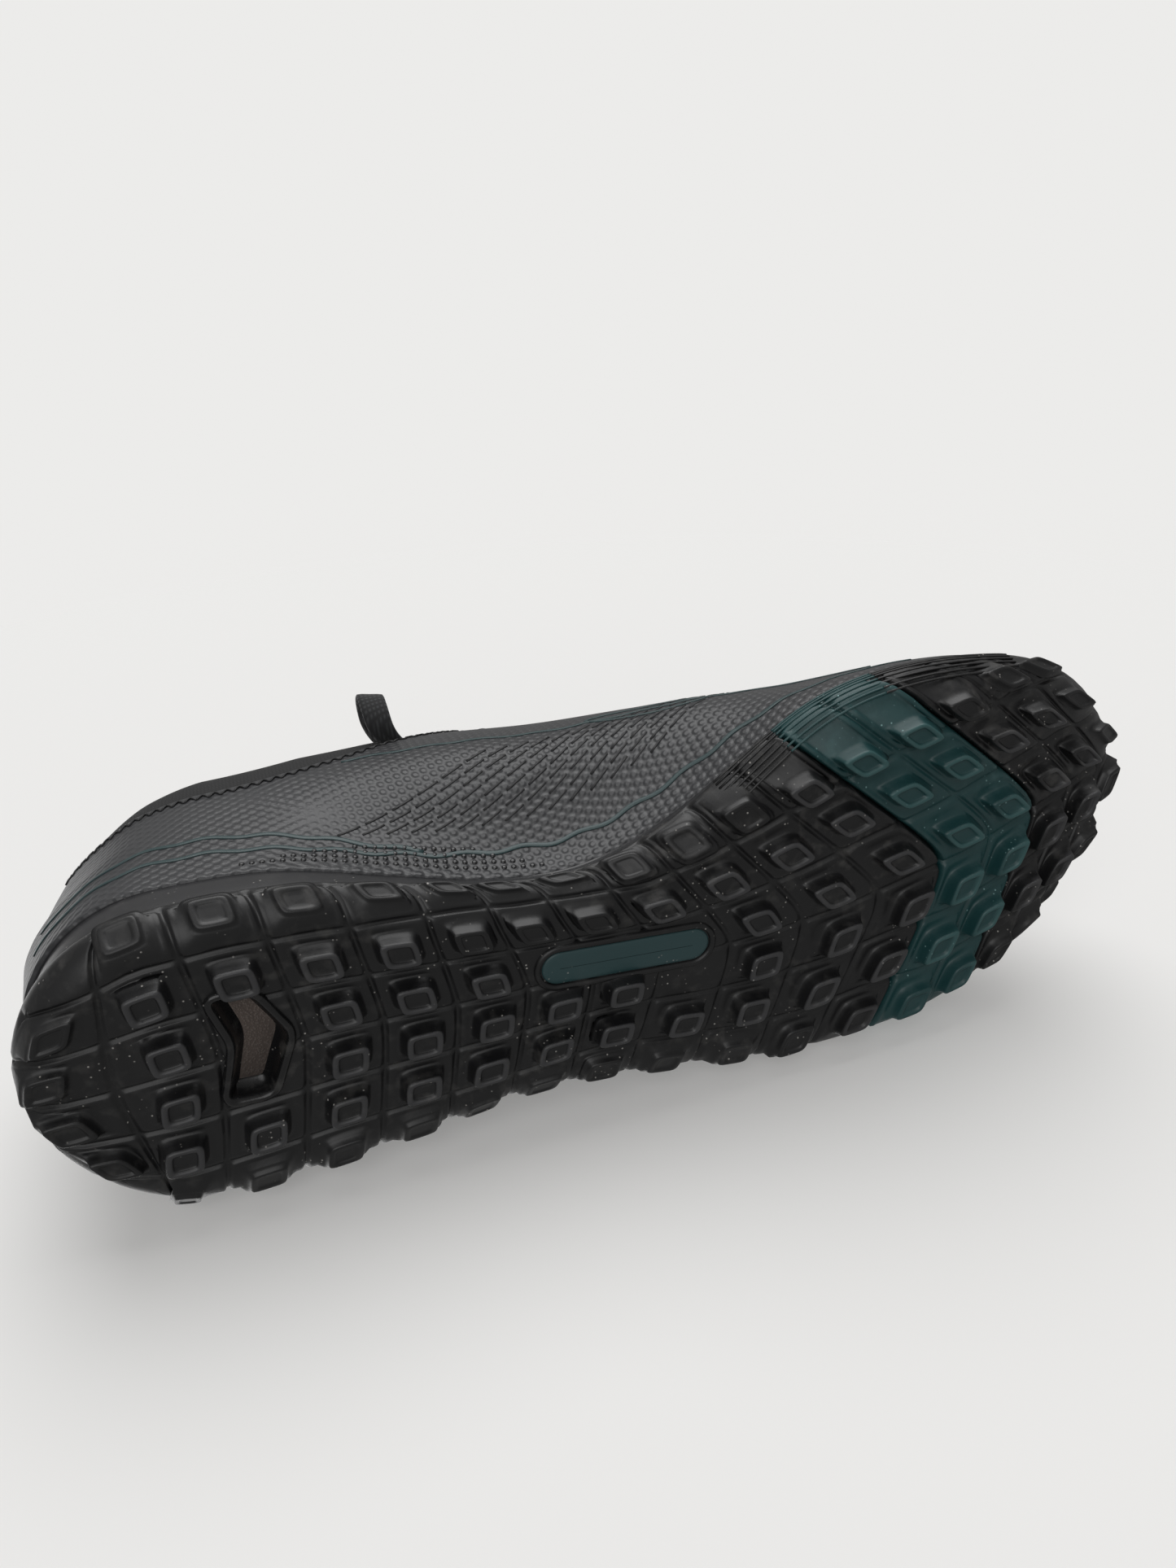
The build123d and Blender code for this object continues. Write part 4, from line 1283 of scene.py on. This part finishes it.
def upper_top(x, y):
    """Height of the upper's surface at a plan place near its ridge."""
    width = np.interp(x, *np.array(UPPER_MEDIAL, float).T)
    share = np.maximum(0, 1 - (y / width) ** 2) ** (1 / 3)
    return foot_line(x) + (follow(RIDGE, x) - follow(BITE, x)) * share


def eyelet(x, side):
    """Centre of an eyelet beside the lacing gap."""
    reach = THROAT_HALF_FRONT + (THROAT_FRONT - x) * 0.16 + 4.5
    return np.array([x, side * reach, float(upper_top(x, reach)) + 0.4])


def make_crossings():
    """Flat lace bars and crossings between the eyelets, and the rings round the eyelets."""
    laces, rings = Shape(), Shape()

    def cross(a, b, lift):
        mid = (a + b) / 2
        mid[2] = max(float(upper_top(mid[0], abs(mid[1]))) + lift, mid[2])
        quarter, last = (a * 0.6 + mid * 0.4), (b * 0.6 + mid * 0.4)
        for point in (quarter, last):
            point[2] = float(upper_top(point[0], abs(point[1]))) + lift + 0.4
        line = through([a + (0, 0, -1.5), quarter, mid, last, b + (0, 0, -1.5)], 1.0)
        across = np.broadcast_to(np.cross((0, 0, 1), b - a), line.shape).copy()
        sweep(laces, line, across, flat_section(LACE_WIDE - 0.6, LACE_THICK))

    cross(eyelet(31.7, -1), eyelet(31.7, 1), 1.6)
    for here, there in zip(EYELETS[:-1], EYELETS[1:]):
        for side, lift in ((-1, 0.8), (1, 2.0)):
            cross(eyelet(here - 1.7, side), eyelet(there + 1.7, -side), lift)
    angle = np.linspace(0, 2 * np.pi, 20, endpoint=False)
    turn = np.linspace(0, 2 * np.pi, 8, endpoint=False)
    wire = EYELET_WIRE * np.stack([np.cos(turn), np.sin(turn)], 1)
    for x in EYELETS:
        for side in (-1, 1):
            centre = eyelet(x, side) - (0, 0, 0.1)
            ahead, aside = 2.9 * np.cos(angle), 2.5 * np.sin(angle)
            loop = centre + np.stack([ahead, aside, side * -0.55 * aside], 1)
            sweep(rings, loop, loop - centre, wire, closed=True)
    piece = laces.piece("lace_bars", lace_weave, merge=0)
    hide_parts("lace_crossings")
    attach(piece, "shoe")
    piece = rings.piece("eyelet_rings", thread, merge=0)
    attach(piece, "shoe")


def make_knot():
    """Bow knot of flat lace: a wrap and the two turns inside it."""
    shape = Shape()
    angle = np.linspace(0, 2 * np.pi, 40, endpoint=False)
    for across, length, tall, lean, shift in ((7.0, 5.6, 3.9, 0.0, 0), (6.4, 4.6, 2.8, 0.5, 1),
                                              (6.4, 4.6, 2.6, -0.5, -1)):
        turn = [length * np.cos(angle), lean * 2.2 * np.cos(angle), tall * np.sin(angle)]
        line = np.array(KNOT) + (0, shift, 0) + np.stack(turn, 1)
        way = np.broadcast_to((lean * 0.4, 1.0, 0.0), line.shape).copy()
        sweep(shape, line, way, flat_section(across, 1.3), closed=True)
    piece = shape.piece("bow_knot", lace_weave, merge=0)
    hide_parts("lace_knot")
    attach(piece, "shoe")


def make_laces():
    """Crossings, knot, two loops and two ends with their tips."""
    make_crossings()
    make_knot()
    make_cord("bow_loop_medial", LOOP_MEDIAL, "lace_loop_medial", "object")
    make_cord("bow_loop_lateral", LOOP_LATERAL, "lace_loop_lateral", "object")
    for side, route in (("medial", END_MEDIAL), ("lateral", END_LATERAL)):
        tip = make_aglet("lace_tip_" + side, route, "aglet_" + side)
        make_cord("bow_end_" + side, route, "lace_end_" + side, "fitting")


# ------------------------------------------------------------------ hidden CAD parts, stage, light and camera


def dress_nodes():
    """Cloth on the insole boards, the only CAD parts that aren't replaced by modelled pieces."""
    for name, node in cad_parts.items():
        node.data.materials.clear()
        node.data.materials.append(board_cloth if name.startswith("strobel_board") else black_rubber)


ROOM_LIGHT, SEEN_ROOM = 0.28, 0.84
# name, direction towards the lamp, angle it fills in degrees, strength
LAMPS = [("key", (0.15, -0.9, 0.33), 55, 2.1), ("front", (-0.35, -0.6, -0.72), 50, 0.95),
         ("back", (-0.3, 0.65, 0.7), 60, 1.0)]
OUTER_SIDE, OUTER_LEAN = 0.0525, 3.4  # the upright plane: metres from the middle, degrees of turn


def stage_material(name, glow):
    """Pale plane that fades into the surround away from the shoe and can't be seen from behind."""
    made = Material(name, (0.58, 0.577, 0.57), 0.9)
    back = made.node("ShaderNodeNewGeometry").outputs["Backfacing"]
    front = made.math("SUBTRACT", 1.0, back)
    far = made.node("ShaderNodeVectorMath", {0: made.place()}, operation="LENGTH").outputs["Value"]
    fade = made.node("ShaderNodeMapRange", {"Value": far, "From Min": 0.75, "From Max": 0.2},
                     interpolation_type="SMOOTHSTEP").outputs["Result"]
    made.feed("Alpha", made.math("MULTIPLY", front, fade))
    made.shader.inputs["Emission Color"].default_value = (1, 0.99, 0.975, 1)
    made.shader.inputs["Emission Strength"].default_value = glow
    return made.material


def make_stage():
    """Pale planes under the sole and behind the outer side, seen by the camera only."""
    upright = (math.pi / 2, 0, math.radians(OUTER_LEAN))
    for name, place, turn, glow in (("stage_floor", (0, 0, 0), (0, 0, 0), 0.3),
                                    ("stage_side", (0, OUTER_SIDE, 0), upright, 0.2)):
        mesh = bpy.data.meshes.new(name)
        mesh.from_pydata([(-2, -2, 0), (2, -2, 0), (2, 2, 0), (-2, 2, 0)], [], [(0, 1, 2, 3)])
        plane = bpy.data.objects.new(name, mesh)
        plane.location, plane.rotation_euler = place, turn
        bpy.context.scene.collection.objects.link(plane)
        mesh.materials.append(stage_material(name, glow))
        plane.visible_diffuse = plane.visible_glossy = plane.visible_transmission = False
        plane.visible_shadow = False


def make_light():
    """Dim room light, a bright pale surround that only the camera sees, and large soft lamps."""
    world = bpy.data.worlds.new("world")
    bpy.context.scene.world = world
    world.use_nodes = True
    nodes, links = world.node_tree.nodes, world.node_tree.links
    seen = nodes.new("ShaderNodeLightPath").outputs["Is Camera Ray"]
    strength = nodes.new("ShaderNodeMapRange")
    strength.inputs["To Min"].default_value = ROOM_LIGHT
    strength.inputs["To Max"].default_value = SEEN_ROOM
    links.new(seen, strength.inputs["Value"])
    links.new(strength.outputs["Result"], nodes["Background"].inputs["Strength"])
    nodes["Background"].inputs["Color"].default_value = (1.0, 0.995, 0.98, 1)
    for name, way, angle, power in LAMPS:
        lamp = bpy.data.lights.new(name, "SUN")
        lamp.angle, lamp.energy = math.radians(angle), power
        lamp_object = bpy.data.objects.new(name, lamp)
        lamp_object.rotation_euler = (-Vector(way)).to_track_quat("-Z", "Y").to_euler()
        bpy.context.scene.collection.objects.link(lamp_object)


LENS, SENSOR = 27.03, 36
CAMERA_PLACE = (-0.0739, -0.1661, -0.2109)
CAMERA_RIGHT, CAMERA_FORWARD = (0.9415, 0.0918, -0.3242), (0.2443, 0.4767, 0.8444)


def make_camera():
    """Camera under the inner side of the shoe, looking up at the sole, with the toe to the right."""
    data = bpy.data.cameras.new("camera")
    data.sensor_width = SENSOR
    data.lens = LENS
    data.clip_start = 0.01
    camera = bpy.data.objects.new("camera", data)
    bpy.context.scene.collection.objects.link(camera)
    right = Vector(CAMERA_RIGHT).normalized()
    forward = Vector(CAMERA_FORWARD)
    forward = (forward - right * forward.dot(right)).normalized()
    turn = Matrix((right, right.cross(forward), -forward)).transposed()
    camera.matrix_world = Matrix.Translation(CAMERA_PLACE) @ turn.to_4x4()
    bpy.context.scene.camera = camera
    bpy.context.scene.view_settings.view_transform = "Standard"


dress_nodes()
make_outsole()
make_window()
make_badge()
make_foxing()
make_upper()
make_prints()
make_lining()
make_stiffeners()
make_footbed()
make_eyestays()
make_stitching()
make_tongue()
make_laces()
make_stage()
make_light()
make_camera()
